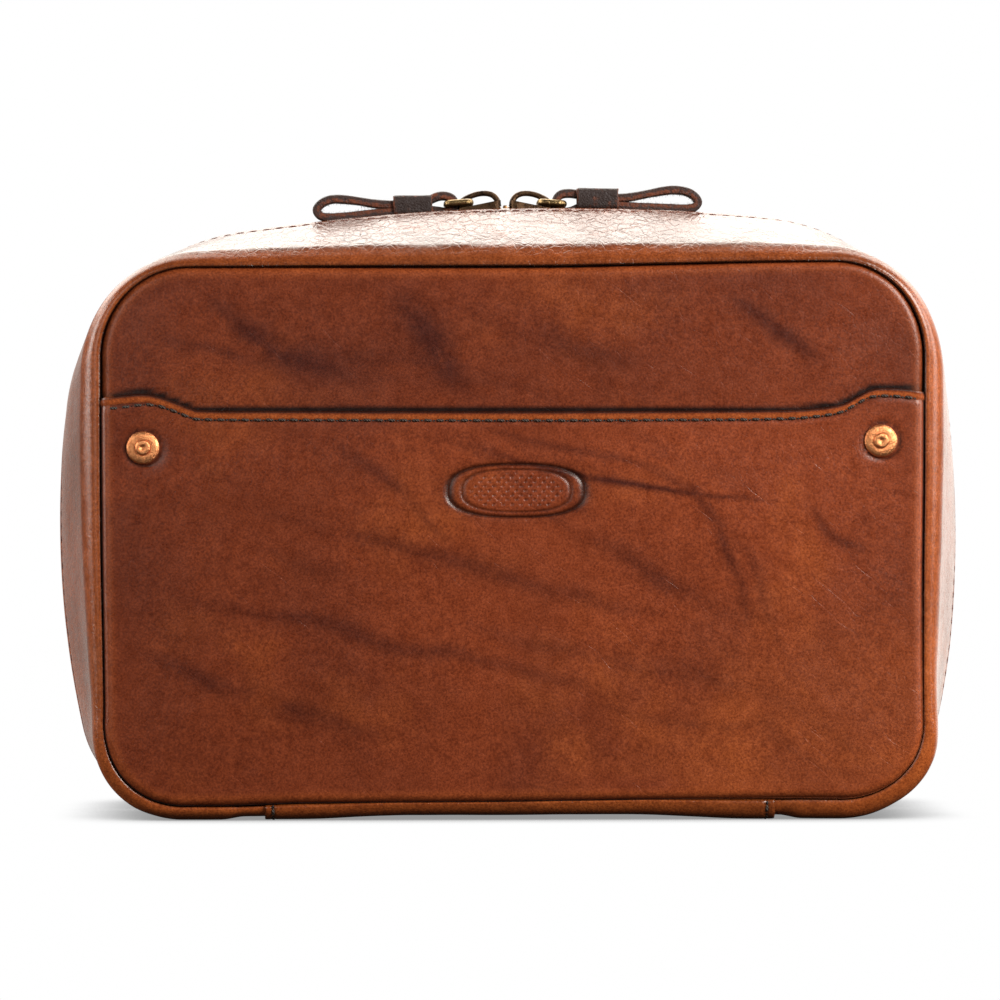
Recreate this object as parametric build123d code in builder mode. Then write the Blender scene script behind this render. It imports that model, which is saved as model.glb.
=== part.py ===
"""Leather shaving kit bag: two leather trays that meet at a zipper and fold open about the middle of the base.

Frame: +X to the right of the front panel, +Y towards the back, +Z up. The origin is on the surface that the bag
stands on, below the middle of the bag. The meeting plane of the two trays is Y = 0. All sizes are in millimetres.
"""

import os
from math import asin, cos, radians, sin, sqrt

from build123d import *

os.makedirs("parts", exist_ok=True)

# ---------------------------------------------------------------- driving dimensions
HALF_DEPTH = 45.0  # meeting plane to the outer face of a panel
MID_HALF_WIDTH = 133.0  # widest half-width, at the zipper
FACE_HALF_WIDTH = 123.5  # half-width at the outer face of a panel
MID_HEIGHT = 179.1  # top of the arch, at the zipper
FACE_HEIGHT = 163.8  # top at the outer face of a panel
MID_SIDE_RADIUS, FACE_SIDE_RADIUS = 276.0, 3000.0  # bow of the sides
MID_TOP_RADIUS, FACE_TOP_RADIUS = 556.0, 3000.0  # bow of the top
MID_SIDE_CENTRE, FACE_SIDE_CENTRE = 86.0, 110.0  # height at which the sides are widest
MID_TOP_CORNER, FACE_TOP_CORNER = 62.0, 31.0
MID_BOTTOM_CORNER, FACE_BOTTOM_CORNER = 32.0, 27.0
ZIP_GAP = 7.0  # meeting plane to the leather edge beside the zipper
SLOPE = 1.15  # 1 is a straight slope from the zipper to the panel, and 2 a parabola
SECTION_DEPTHS = (0.0, ZIP_GAP, 26.0, HALF_DEPTH)

LEATHER = 2.0
ROLL_RADIUS = 4.4  # rolled front edge of the gusset
FIT_GAP = 0.15  # between pieces that are sewn or laid face to face

SEAM_HALF_WIDTH = 118.7  # the seam between gusset and panel
SEAM_BOTTOM, SEAM_TOP = 4.9, 159.3
SEAM_TOP_CORNER, SEAM_BOTTOM_CORNER = 26.0, 24.0

BASE_HALF_LENGTH = 73.5  # base piece, between the ends of the zipper gusset
BASE_CUT_HEIGHT = 12.0
HINGE_GAP = 0.15  # from the fold line to each half of the base

TAPE_INNER_EDGE, TAPE_OUTER_EDGE = 2.7, 16.0
TAPE_THICKNESS = 0.8
TAPE_INSET = LEATHER + 0.1
TAPE_END = 62.0  # the tape runs on under the base to here
CHAIN_INSET = TAPE_INSET + TAPE_THICKNESS / 2

TOOTH_PITCH = 3.0
TOOTH_LENGTH, TOOTH_THICKNESS = 1.35, 2.6
TOOTH_ROOT, TOOTH_TIP = 2.7, 0.9  # from the meeting plane, away from it and past it
TEETH_END = 80.0
STOP_AT = 77.0
SPREAD = 1.75  # how far each row stands off the meeting plane between the sliders
SPREAD_LENGTH = (3.5, -1.9)  # where a row starts to part and has parted, in the slider's own frame

BACK_SWELL = 0.5  # the back panel stands this far proud of its seam

LINING = 0.6
LINING_INSET = 3.1
LINING_EDGE = 10.0
LINING_FLOOR = 41.6

POCKET_THICKNESS = 1.6
POCKET_NEAR = HALF_DEPTH + 0.05
POCKET_FAR = POCKET_NEAR + POCKET_THICKNESS
RIVETS = {"left": (-106.1, 107.3), "right": (106.4, 109.4)}
RIVET_RADIUS, RIVET_HEAD_RADIUS, RIVET_HEAD = 1.6, 4.2, 1.2
BURR_RADIUS, BURR_THICKNESS = 4.8, 0.9
PEEN_RADIUS, PEEN_HEIGHT = 2.1, 0.75

SLIDER_AT = {"left": 8.3, "right": 6.7}  # slider middle from the middle of the bag, zipper closed
SLIDER_MOUTH, SLIDER_TAIL = -6.2, 6.5
SLIDER_MOUTH_HALF, SLIDER_TAIL_HALF = 6.2, 4.2
PLATE = 1.1
LOWER_PLATE_INNER = 1.6
UPPER_TAIL, UPPER_MOUTH = 2.7, 4.95  # top of the upper plate, which rises to the mouth
LIP_WIDTH, LIP_GAP = 0.8, 0.75
POST_LENGTH, POST_WIDTH = 2.6, 1.0
CROWN = [(-4.7, 3.0), (-4.4, 6.1), (-1.4, 7.3), (2.4, 6.85), (5.75, 5.5), (5.75, 2.0)]
CROWN_WIDTH, CROWN_THICKNESS = 2.4, 1.3
RING_PIVOT = (2.9, 4.5)  # in the slider's own frame: outwards along the zipper, and up
RING_LENGTH, RING_HALF_WIDTH = 6.9, 4.7  # between wire centres
RING_WIRE, RING_CORNER = 1.05, 1.7
RING_DROP = 0.35  # outer bar below the inner one
STRAP_THICKNESS, STRAP_HALF_WIDTH = 1.55, 2.85
STRAP_FLAT = (14.8, 26.1)
STRAP_FLAT_HEIGHTS = (2.55, 5.65)
NECK_END = 12.2  # the neck's eye, from the ring's bar to here
LOOP_CENTRE, LOOP_RADIUS = (46.6, 3.65), 3.65
PULL_LIFT = {"left": 0.0, "right": 1.5}  # degrees about the ring's outer bar
KEEPER_SIDE, KEEPER_TOP, KEEPER_FIT = 1.0, 1.3, 0.05

written = []


def save(part, name):
    """Label a finished piece and write it as its own STEP file."""
    part.label = name
    export_step(part, f"parts/{name}.step")
    written.append(name)


# ---------------------------------------------------------------- outlines and trays
def mixed(middle, face, depth):
    """A size between the zipper and the panel: level beside the zipper, and then sloping in to the panel."""
    share = max(depth - ZIP_GAP, 0.0) / (HALF_DEPTH - ZIP_GAP)
    return middle + (face - middle) * share**SLOPE


def outline(depth, inset=0.0):
    """The bag's outline at one depth, pulled in by inset: flat base, bowed sides and top, round corners."""
    side_radius = 1 / mixed(1 / MID_SIDE_RADIUS, 1 / FACE_SIDE_RADIUS, depth)
    top_radius = 1 / mixed(1 / MID_TOP_RADIUS, 1 / FACE_TOP_RADIUS, depth)
    half_width = mixed(MID_HALF_WIDTH, FACE_HALF_WIDTH, depth)
    height = mixed(MID_HEIGHT, FACE_HEIGHT, depth)
    side_centre = mixed(MID_SIDE_CENTRE, FACE_SIDE_CENTRE, depth)
    side_bow, top_bow = side_radius - inset, top_radius - inset

    def side_x(z):
        return half_width - side_radius + sqrt(side_bow**2 - (z - side_centre) ** 2)

    def top_z(x):
        return height - top_radius + sqrt(top_bow**2 - x**2)

    corner_z = height
    for _ in range(30):  # where the side's arc meets the top's arc
        corner_x = side_x(corner_z)
        corner_z = top_z(corner_x)
    base_x = side_x(inset)
    with BuildSketch(Plane.XZ.offset(depth)) as face:
        with BuildLine():
            Line((-base_x, inset), (base_x, inset))
            ThreePointArc((base_x, inset), (side_x(side_centre), side_centre), (corner_x, corner_z))
            ThreePointArc((corner_x, corner_z), (0, top_z(0)), (-corner_x, corner_z))
            ThreePointArc((-corner_x, corner_z), (-side_x(side_centre), side_centre), (-base_x, inset))
        make_face()
        fillet(face.vertices().sort_by(Axis.Y)[-2:], mixed(MID_TOP_CORNER, FACE_TOP_CORNER, depth) - inset)
        fillet(face.vertices().sort_by(Axis.Y)[:2], mixed(MID_BOTTOM_CORNER, FACE_BOTTOM_CORNER, depth) - inset)
    return face.sketch


def block(inset, near, far):
    """The front tray as a full block, pulled in by inset, from one depth to another."""
    sections = [outline(depth, inset) for depth in SECTION_DEPTHS]
    with BuildPart() as solid:
        loft(sections=sections, ruled=True)
        with Locations((0, -(near + far) / 2, MID_HEIGHT / 2)):
            Box(4 * MID_HALF_WIDTH, far - near, 2 * MID_HEIGHT, mode=Mode.INTERSECT)
    return solid.part


def seam_outline(inset=0.0):
    """The panel's outline, inside the seam, drawn flat."""
    with BuildSketch() as face:
        with Locations((0, (SEAM_BOTTOM + SEAM_TOP) / 2)):
            Rectangle(2 * (SEAM_HALF_WIDTH - inset), SEAM_TOP - SEAM_BOTTOM - 2 * inset)
        fillet(face.vertices().sort_by(Axis.Y)[-2:], SEAM_TOP_CORNER - inset)
        fillet(face.vertices().sort_by(Axis.Y)[:2], SEAM_BOTTOM_CORNER - inset)
    return face.sketch


def both_trays(front_part, piece):
    """Write a piece of the front tray, and its mirror image in the back tray."""
    save(front_part, f"front_{piece}")
    save(mirror(front_part, about=Plane.XZ), f"back_{piece}")


# zipper gusset: top, sides and bottom corners, rolled over at the front to the seam
gusset_outer = block(0, ZIP_GAP, HALF_DEPTH)
gusset_inner = block(LEATHER, 0, HALF_DEPTH - LEATHER)
with BuildPart() as gusset:
    add(gusset_outer)
    fillet(gusset.faces().sort_by(Axis.Y)[0].edges(), ROLL_RADIUS)
    add(gusset_inner, mode=Mode.SUBTRACT)
    with BuildSketch(Plane.XZ.offset(HALF_DEPTH - LEATHER - 1)):
        add(seam_outline())
    extrude(amount=LEATHER + 2, mode=Mode.SUBTRACT)
    with BuildSketch(Plane.XY):
        Rectangle(2 * BASE_HALF_LENGTH, 3 * HALF_DEPTH)
    extrude(amount=BASE_CUT_HEIGHT, both=True, mode=Mode.SUBTRACT)
both_trays(gusset.part, "gusset")

# base: half of the folding bottom, with its own rolled front edge
with BuildPart() as base:
    with BuildSketch(Plane.YZ.offset(-BASE_HALF_LENGTH)) as section:
        with BuildLine():
            Polyline(
                (-HINGE_GAP, 0),
                (-HALF_DEPTH, 0),
                (-HALF_DEPTH, SEAM_BOTTOM),
                (-HALF_DEPTH + LEATHER, SEAM_BOTTOM),
                (-HALF_DEPTH + LEATHER, LEATHER),
                (-HINGE_GAP, LEATHER),
                close=True,
            )
        make_face()
        fillet(section.vertices().sort_by_distance((-HALF_DEPTH, 0))[:1], ROLL_RADIUS)
        inner_corner = (-HALF_DEPTH + LEATHER, LEATHER)
        fillet(section.vertices().sort_by_distance(inner_corner)[:1], ROLL_RADIUS - LEATHER)
    extrude(amount=2 * BASE_HALF_LENGTH)
both_trays(base.part, "base")

# panel: the flat leather face inside the seam, with the rivets' holes in the front one
panel_outline = seam_outline(FIT_GAP)
with BuildPart() as back_panel:
    with BuildSketch(Plane.XZ.offset(-HALF_DEPTH - BACK_SWELL)):
        add(panel_outline)
    extrude(amount=LEATHER)
    fillet(back_panel.faces().sort_by(Axis.Y)[-1].edges(), LEATHER * 0.7)
save(back_panel.part, "back_panel")

with BuildPart() as front_panel:
    with BuildSketch(Plane.XZ.offset(HALF_DEPTH - LEATHER)):
        add(panel_outline)
    extrude(amount=LEATHER)
    fillet(front_panel.faces().sort_by(Axis.Y)[0].edges(), LEATHER * 0.7)
    with BuildSketch(Plane.XZ.offset(HALF_DEPTH - LEATHER)):
        with Locations(*RIVETS.values()):
            Circle(RIVET_RADIUS + 0.05)
    extrude(amount=LEATHER, mode=Mode.SUBTRACT)
save(front_panel.part, "front_panel")

# slip pocket: a second leather layer over the lower panel, its top edge dipping between the rivets
with BuildPart() as pocket:
    with BuildSketch(Plane.XZ.offset(POCKET_NEAR)):
        add(panel_outline)
    extrude(amount=POCKET_THICKNESS)
    fillet(pocket.faces().sort_by(Axis.Y)[0].edges(), POCKET_THICKNESS * 0.6)
    with BuildSketch(Plane.XZ.offset(POCKET_NEAR)):
        with BuildLine():
            mouth = Spline(
                (-SEAM_HALF_WIDTH - 2, 121.8),
                (-108.4, 122.5),
                (-100.5, 121.7),
                (-94.5, 118.8),
                (-86.0, 118.1),
                (0, 118.0),
                (78.0, 118.6),
                (90.0, 119.6),
                (97.5, 121.6),
                (104.0, 124.7),
                (SEAM_HALF_WIDTH + 2, 123.6),
            )
            Polyline(mouth @ 1, (SEAM_HALF_WIDTH + 2, SEAM_TOP), (-SEAM_HALF_WIDTH - 2, SEAM_TOP), mouth @ 0)
        make_face()
        with Locations(*RIVETS.values()):
            Circle(RIVET_RADIUS + 0.05)
    extrude(amount=POCKET_THICKNESS, mode=Mode.SUBTRACT)
save(pocket.part, "front_pocket")

# rivets: each nail's head is inside, its shank goes through panel, pocket and burr, and its end is peened
for side, place in RIVETS.items():
    with BuildPart() as rivet:
        with BuildSketch(Plane.XZ.offset(HALF_DEPTH - LEATHER - RIVET_HEAD)):
            with Locations(place):
                Circle(RIVET_HEAD_RADIUS)
        extrude(amount=RIVET_HEAD)
        fillet(rivet.faces().sort_by(Axis.Y)[-1].edges(), RIVET_HEAD / 2)
        with BuildSketch(Plane.XZ.offset(HALF_DEPTH - LEATHER)):
            with Locations(place):
                Circle(RIVET_RADIUS)
        extrude(amount=POCKET_FAR + BURR_THICKNESS - HALF_DEPTH + LEATHER)
        with BuildSketch(Plane.XZ.offset(POCKET_FAR + BURR_THICKNESS)):
            with Locations(place):
                Circle(PEEN_RADIUS)
        extrude(amount=PEEN_HEIGHT)
        fillet(rivet.faces().sort_by(Axis.Y)[0].edges(), PEEN_HEIGHT * 0.8)
    save(rivet.part, f"rivet_{side}")
    with BuildPart() as burr:
        with BuildSketch(Plane.XZ.offset(POCKET_FAR)):
            with Locations(place):
                Circle(BURR_RADIUS)
                Circle(RIVET_RADIUS + 0.05, mode=Mode.SUBTRACT)
        extrude(amount=BURR_THICKNESS)
        fillet(burr.faces().sort_by(Axis.Y)[0].edges().sort_by(SortBy.RADIUS)[-1:], BURR_THICKNESS * 0.4)
    save(burr.part, f"burr_{side}")

# lining: a thin fabric tray inside each leather tray
lining_outer = block(LINING_INSET, LINING_EDGE, LINING_FLOOR)
lining_inner = block(LINING_INSET + LINING, 0, LINING_FLOOR - LINING)
with BuildPart() as lining:
    add(lining_outer)
    add(lining_inner, mode=Mode.SUBTRACT)
both_trays(lining.part, "lining")

# ---------------------------------------------------------------- zipper
slider_zone = max(SLIDER_AT.values()) + SPREAD_LENGTH[0]
tape_outer = block(TAPE_INSET, TAPE_INNER_EDGE, TAPE_OUTER_EDGE)
tape_inner = block(TAPE_INSET + TAPE_THICKNESS, 0, TAPE_OUTER_EDGE + 1)
with BuildPart() as tape:
    add(tape_outer)
    add(tape_inner, mode=Mode.SUBTRACT)
    with BuildSketch(Plane.XY):
        Rectangle(2 * TAPE_END, 3 * HALF_DEPTH)
    extrude(amount=BASE_CUT_HEIGHT, both=True, mode=Mode.SUBTRACT)
    with BuildSketch(Plane.XY.offset(MID_HEIGHT / 2)):  # the edge parts with the teeth, between the sliders
        parted = -TAPE_INNER_EDGE - SPREAD - 0.3
        Polygon((-slider_zone - 1, 0), (-slider_zone - 1, -TAPE_INNER_EDGE), (-7.5, parted),
                (7.5, parted), (slider_zone + 1, -TAPE_INNER_EDGE), (slider_zone + 1, 0), align=None)
    extrude(amount=MID_HEIGHT, mode=Mode.SUBTRACT)
both_trays(tape.part, "zipper_tape")

chain_line = outline(0, CHAIN_INSET).face().outer_wire()


def chain_places():
    """Evenly spaced places along the chain, each with the direction along it, from one end of the base to the other."""
    start = chain_line.param_at_point(Vector(-TEETH_END, 0, CHAIN_INSET))
    step = TOOTH_PITCH / 2 / chain_line.length
    length = 1 - 2 * TEETH_END / chain_line.length
    forward = 1 if chain_line.position_at((start + 20 * step) % 1).X < -TEETH_END else -1
    for n in range(int(length / step) + 1):
        at = (start + forward * n * step) % 1
        yield n, chain_line.position_at(at), chain_line.tangent_at(at)


def slider_offset(point):
    """A place on the top of the chain in the frame of the slider on its side, or None on the sides and below."""
    if point.Z < MID_HEIGHT / 2:
        return None
    return abs(point.X) - SLIDER_AT["left" if point.X < 0 else "right"]


def row_shift(point):
    """How far a tooth stands off the meeting plane: the rows part inside the sliders and stay parted between them."""
    offset = slider_offset(point)
    if offset is None:
        return 0.0
    start, full = SPREAD_LENGTH
    return SPREAD * min(max((start - offset) / (start - full), 0.0), 1.0)


def row_lift(point):
    """How far the chain rises, to follow the sliders' upper plates up to their mouths."""
    offset = slider_offset(point)
    if offset is None:
        return 0.0
    rise = (UPPER_MOUTH - UPPER_TAIL) / (SLIDER_TAIL - SLIDER_MOUTH)
    return rise * min(max(SLIDER_TAIL - offset, 0.0), SLIDER_TAIL - SLIDER_MOUTH)


def teeth_row(direction, first):
    """One row of separate teeth; direction is -1 for the front tray and 1 for the back one."""
    across = Vector(0, 1, 0)
    places = []
    for n, point, along in chain_places():
        if n % 2 == first:
            middle = direction * ((TOOTH_ROOT - TOOTH_TIP) / 2 + row_shift(point))
            centre = point + across * middle + Vector(0, 0, row_lift(point))
            places.append(Plane(centre, x_dir=along, z_dir=along.cross(across)).location)
    with BuildPart() as row:
        with Locations(*places):
            Box(TOOTH_LENGTH, TOOTH_ROOT + TOOTH_TIP, TOOTH_THICKNESS)
    return row.part


save(teeth_row(-1, 0), "front_zipper_teeth")
save(teeth_row(1, 1), "back_zipper_teeth")

# end stops: a clip over the tape's edge past the last tooth, at both ends of each row
with BuildPart() as stops:
    with Locations((-STOP_AT, -TAPE_INNER_EDGE, CHAIN_INSET), (STOP_AT, -TAPE_INNER_EDGE, CHAIN_INSET)):
        Box(3.0, 2.4, TOOTH_THICKNESS)
    with Locations((0, -TAPE_INNER_EDGE - HALF_DEPTH, CHAIN_INSET)):
        Box(3 * STOP_AT, 2 * HALF_DEPTH, TAPE_THICKNESS + 0.1, mode=Mode.SUBTRACT)
both_trays(stops.part, "end_stops")

# ---------------------------------------------------------------- sliders and pulls
chain_radius = MID_TOP_RADIUS - CHAIN_INSET
chain_centre_z = MID_HEIGHT - MID_TOP_RADIUS
plate_rise = (UPPER_MOUTH - UPPER_TAIL) / (SLIDER_TAIL - SLIDER_MOUTH)


def slider_planes(name):
    """The slider's flat plane and its upright plane. X runs outwards along the zipper in both."""
    side = -1 if name == "left" else 1
    angle = asin(SLIDER_AT[name] / chain_radius)
    up = Vector(side * sin(angle), 0, cos(angle))
    out = Vector(side * cos(angle), 0, -sin(angle))
    origin = Vector(0, 0, chain_centre_z) + up * chain_radius
    return Plane(origin, x_dir=out, z_dir=up), Plane(origin, x_dir=out, z_dir=out.cross(up))


def shield(narrower=0.0, longer=0.0):
    """A slider plate's outline, wider at the mouth than at the tail."""
    mouth_half, tail_half = SLIDER_MOUTH_HALF - narrower, SLIDER_TAIL_HALF - narrower
    mouth, tail = SLIDER_MOUTH - longer, SLIDER_TAIL + longer
    return [(mouth, -mouth_half), (tail, -tail_half), (tail, tail_half), (mouth, mouth_half)]


def plate_top(x):
    """Height of the upper plate's top face."""
    return UPPER_TAIL + plate_rise * (SLIDER_TAIL - x)


def channel(flat, upright):
    """The teeth's way through a slider, wider and taller at the mouth."""
    mouth, tail = SLIDER_MOUTH - 1, SLIDER_TAIL + 1
    with BuildPart() as way:
        with BuildSketch(upright):
            Polygon((mouth, -LOWER_PLATE_INNER), (tail, -LOWER_PLATE_INNER),
                    (tail, plate_top(tail) - PLATE), (mouth, plate_top(mouth) - PLATE), align=None)
        extrude(amount=2 * SLIDER_MOUTH_HALF, both=True)
        with BuildSketch(flat.offset(-LOWER_PLATE_INNER - 1)):
            Polygon(*shield(LIP_WIDTH, 2), align=None)
        extrude(amount=2 * UPPER_MOUTH, mode=Mode.INTERSECT)
    return way.part


def slider_body(flat, upright):
    """Two plates with lips at their sides and a post between them at the mouth; the upper plate slopes."""
    low, tall = -LOWER_PLATE_INNER - PLATE, UPPER_MOUTH + 1
    mouth, tail = SLIDER_MOUTH - 1, SLIDER_TAIL + 1
    teeth_way = channel(flat, upright)
    with BuildPart() as body:
        with BuildSketch(flat.offset(low)) as plates:
            Polygon(*shield(), align=None)
            fillet(plates.vertices(), 1.8)
        extrude(amount=tall - low)
        with BuildSketch(upright):  # above the upper plate
            Polygon((mouth, plate_top(mouth)), (tail, plate_top(tail)), (tail, tall + 1), (mouth, tall + 1), align=None)
        extrude(amount=2 * SLIDER_MOUTH_HALF, both=True, mode=Mode.SUBTRACT)
        with BuildSketch(flat.offset(-LIP_GAP)):  # the tape's slot
            Rectangle(4 * SLIDER_TAIL, 4 * SLIDER_MOUTH_HALF)
        extrude(amount=2 * LIP_GAP, mode=Mode.SUBTRACT)
        add(teeth_way, mode=Mode.SUBTRACT)
        with BuildSketch(flat.offset(-LOWER_PLATE_INNER)) as post:
            with Locations((SLIDER_MOUTH + 0.8 + POST_LENGTH / 2, 0)):
                Rectangle(POST_LENGTH, POST_WIDTH)
            fillet(post.vertices(), POST_WIDTH * 0.4)
        extrude(amount=LOWER_PLATE_INNER + plate_top(SLIDER_MOUTH + 4) - PLATE / 2)
    return body.part


def slider_crown(upright):
    """The arched bridge on the upper plate, which holds the pull's ring."""
    mouth, tail = SLIDER_MOUTH - 1, SLIDER_TAIL + 1
    with BuildPart() as crown:
        with BuildSketch(upright):
            with BuildLine():
                FilletPolyline(*CROWN, radius=1.3)
            trace(line_width=CROWN_THICKNESS)
            Polygon((mouth, -5), (tail, -5), (tail, plate_top(tail)), (mouth, plate_top(mouth)),
                    align=None, mode=Mode.SUBTRACT)
        extrude(amount=CROWN_WIDTH / 2, both=True)
    return crown.part


def pull_ring(upright):
    """A rounded rectangle of wire; its inner bar lies under the crown and its outer bar carries the strap."""
    inner = upright.from_local_coords(Vector(*RING_PIVOT, 0))
    outer = upright.from_local_coords(Vector(*neck_centre(), 0))
    along = (outer - inner).normalized()
    ring_plane = Plane((inner + outer) * 0.5, x_dir=along, z_dir=upright.z_dir.cross(along))
    with BuildSketch(ring_plane) as loop:
        RectangleRounded(RING_LENGTH, 2 * RING_HALF_WIDTH, RING_CORNER)
    path = loop.sketch.face().outer_wire()
    with BuildPart() as ring:
        with BuildSketch(Plane(path @ 0, z_dir=path % 0)):
            Circle(RING_WIRE)
        sweep(path=path)
    return ring.part


def neck_centre():
    """Where the strap goes round the ring's outer bar, in the slider's own frame."""
    return RING_PIVOT[0] + sqrt(RING_LENGTH**2 - RING_DROP**2), RING_PIVOT[1] - RING_DROP


def lifted(upright, name):
    """The upright plane turned about the ring's outer bar, as the pull stands at rest."""
    lift = radians(PULL_LIFT[name])
    along = upright.x_dir * cos(lift) + upright.y_dir * sin(lift)
    neck = Vector(*neck_centre(), 0)
    turned = Plane(upright.origin, x_dir=along, z_dir=upright.z_dir)
    shift = upright.from_local_coords(neck) - turned.from_local_coords(neck)
    return Plane(turned.origin + shift, x_dir=along, z_dir=upright.z_dir)


def pull_strap(plane):
    """A leather strip folded through the ring: an eye at the neck, flat in the keeper, open in a loop at its end."""
    neck_x, neck_z = neck_centre()
    eye = RING_WIRE + FIT_GAP
    low, high = STRAP_FLAT_HEIGHTS
    start, end = STRAP_FLAT
    middle = (low + high) / 2
    with BuildPart() as strap:
        with BuildSketch(plane) as side:
            with BuildSketch(mode=Mode.PRIVATE) as neck:
                with Locations((neck_x, neck_z)):
                    Circle(eye + STRAP_THICKNESS)
                with Locations((start, middle)):
                    Rectangle(0.4, high - low)
                make_hull()
            add(neck.sketch)
            with Locations(((start + end) / 2, middle)):
                Rectangle(end - start + 0.4, high - low)
            with BuildSketch(mode=Mode.PRIVATE) as loop:
                with Locations((end, middle)):
                    Rectangle(0.4, high - low)
                with Locations(LOOP_CENTRE):
                    Circle(LOOP_RADIUS)
                make_hull()
            add(loop.sketch)
            with BuildSketch(mode=Mode.PRIVATE) as holes:
                with Locations((neck_x, neck_z)):
                    Circle(eye)
                with Locations((NECK_END, middle)):
                    Circle(0.6)
                make_hull()
            add(holes.sketch, mode=Mode.SUBTRACT)
            with BuildSketch(mode=Mode.PRIVATE) as opening:
                with Locations((end + 3.0, middle)):
                    Circle(0.15)
                with Locations(LOOP_CENTRE):
                    Circle(LOOP_RADIUS - STRAP_THICKNESS)
                make_hull()
            add(opening.sketch, mode=Mode.SUBTRACT)
        extrude(amount=STRAP_HALF_WIDTH, both=True)
    return strap.part


def pull_keeper(plane):
    """The leather sleeve that holds the strap's two plies together; it stands proud on top."""
    low, high = STRAP_FLAT_HEIGHTS
    start, end = STRAP_FLAT
    bottom, top = low - KEEPER_FIT - KEEPER_SIDE, high + KEEPER_FIT + KEEPER_TOP
    centre_x = (start + end) / 2
    with BuildPart() as keeper:
        with BuildSketch(plane):
            with Locations((centre_x, (bottom + top) / 2)):
                Rectangle(end - start, top - bottom)
        extrude(amount=STRAP_HALF_WIDTH + KEEPER_FIT + KEEPER_SIDE, both=True)
        fillet(keeper.edges().filter_by(Axis(plane.origin, plane.x_dir)), KEEPER_SIDE * 0.7)
        with BuildSketch(plane):
            with Locations((centre_x, (low + high) / 2)):
                Rectangle(end - start, high - low + 2 * KEEPER_FIT)
        extrude(amount=STRAP_HALF_WIDTH + KEEPER_FIT, both=True, mode=Mode.SUBTRACT)
    return keeper.part


for name in ("left", "right"):
    flat, upright = slider_planes(name)
    save(slider_body(flat, upright), f"slider_body_{name}")
    save(slider_crown(upright), f"slider_crown_{name}")
    save(pull_ring(upright), f"pull_ring_{name}")
    save(pull_strap(lifted(upright, name)), f"pull_strap_{name}")
    save(pull_keeper(lifted(upright, name)), f"pull_keeper_{name}")
    pivot = upright.from_local_coords(Vector(*RING_PIVOT, 0))
    neck = upright.from_local_coords(Vector(*neck_centre(), 0))
    print(name, "ring pivot", tuple(round(v, 3) for v in pivot), "strap pivot", tuple(round(v, 3) for v in neck))
print("sliders turn about z", chain_centre_z, "on a radius of", chain_radius)
print(len(written), "parts")
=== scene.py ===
"""Looks for the leather shaving kit bag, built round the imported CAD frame.

Sizes are in millimetres until a mesh is made.
"""

import math
import random

import bpy
import numpy as np
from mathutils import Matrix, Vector, noise


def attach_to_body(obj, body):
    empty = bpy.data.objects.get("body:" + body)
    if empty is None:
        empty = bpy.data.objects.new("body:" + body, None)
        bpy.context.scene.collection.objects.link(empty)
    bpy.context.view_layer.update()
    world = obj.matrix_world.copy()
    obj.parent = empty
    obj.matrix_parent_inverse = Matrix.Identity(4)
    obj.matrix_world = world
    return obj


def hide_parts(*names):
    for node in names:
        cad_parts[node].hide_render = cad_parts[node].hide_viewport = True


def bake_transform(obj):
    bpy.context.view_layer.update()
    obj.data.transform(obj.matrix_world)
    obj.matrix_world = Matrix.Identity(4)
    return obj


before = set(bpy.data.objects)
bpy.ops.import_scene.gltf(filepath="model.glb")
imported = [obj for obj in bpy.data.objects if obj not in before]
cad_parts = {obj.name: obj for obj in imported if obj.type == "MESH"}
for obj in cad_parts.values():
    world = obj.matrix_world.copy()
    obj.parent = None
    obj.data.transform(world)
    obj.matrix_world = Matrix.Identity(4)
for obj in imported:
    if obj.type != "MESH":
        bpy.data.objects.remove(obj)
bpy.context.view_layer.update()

MM = 0.001
TRAYS = {"front": -1, "back": 1}  # the side of Y = 0 that each tray is on

# ---------------------------------------------------------------- the bag's sizes, as in the CAD part
HALF_DEPTH, ZIP_GAP, SLOPE = 45.0, 7.0, 1.15
MID_HALF_WIDTH, FACE_HALF_WIDTH = 133.0, 123.5
MID_HEIGHT, FACE_HEIGHT = 179.1, 163.8
MID_SIDE_RADIUS, FACE_SIDE_RADIUS = 276.0, 3000.0
MID_TOP_RADIUS, FACE_TOP_RADIUS = 556.0, 3000.0
MID_SIDE_CENTRE, FACE_SIDE_CENTRE = 86.0, 110.0
MID_TOP_CORNER, FACE_TOP_CORNER = 62.0, 31.0
MID_BOTTOM_CORNER, FACE_BOTTOM_CORNER = 32.0, 27.0
LEATHER = 2.0
SEAM_HALF_WIDTH, SEAM_BOTTOM, SEAM_TOP = 118.7, 4.9, 159.3
SEAM_TOP_CORNER, SEAM_BOTTOM_CORNER = 26.0, 24.0
BASE_HALF_LENGTH = 73.5
BASE_MIDDLE = 2.4  # the real base is not quite central
POCKET_BACK, POCKET_FACE = 45.05, 46.65
RIVETS = {"left": (-106.1, 107.3), "right": (106.4, 109.4)}
CHAIN_INSET = 2.5
TOOTH_PITCH, TEETH_END = 3.0, 80.0
SPREAD, SPREAD_LENGTH = 1.75, (3.5, -1.9)  # how far the rows part, and where, outwards of a slider
SLIDER_AT = {"left": 8.3, "right": 6.7}
SLIDER_MOUTH, SLIDER_TAIL, UPPER_TAIL, UPPER_MOUTH = -6.2, 6.5, 2.7, 4.95


# ---------------------------------------------------------------- meshes
def smooth_step(low, high, x):
    t = np.clip((np.asarray(x, float) - low) / (high - low), 0.0, 1.0)
    return t * t * (3 - 2 * t)


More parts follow.
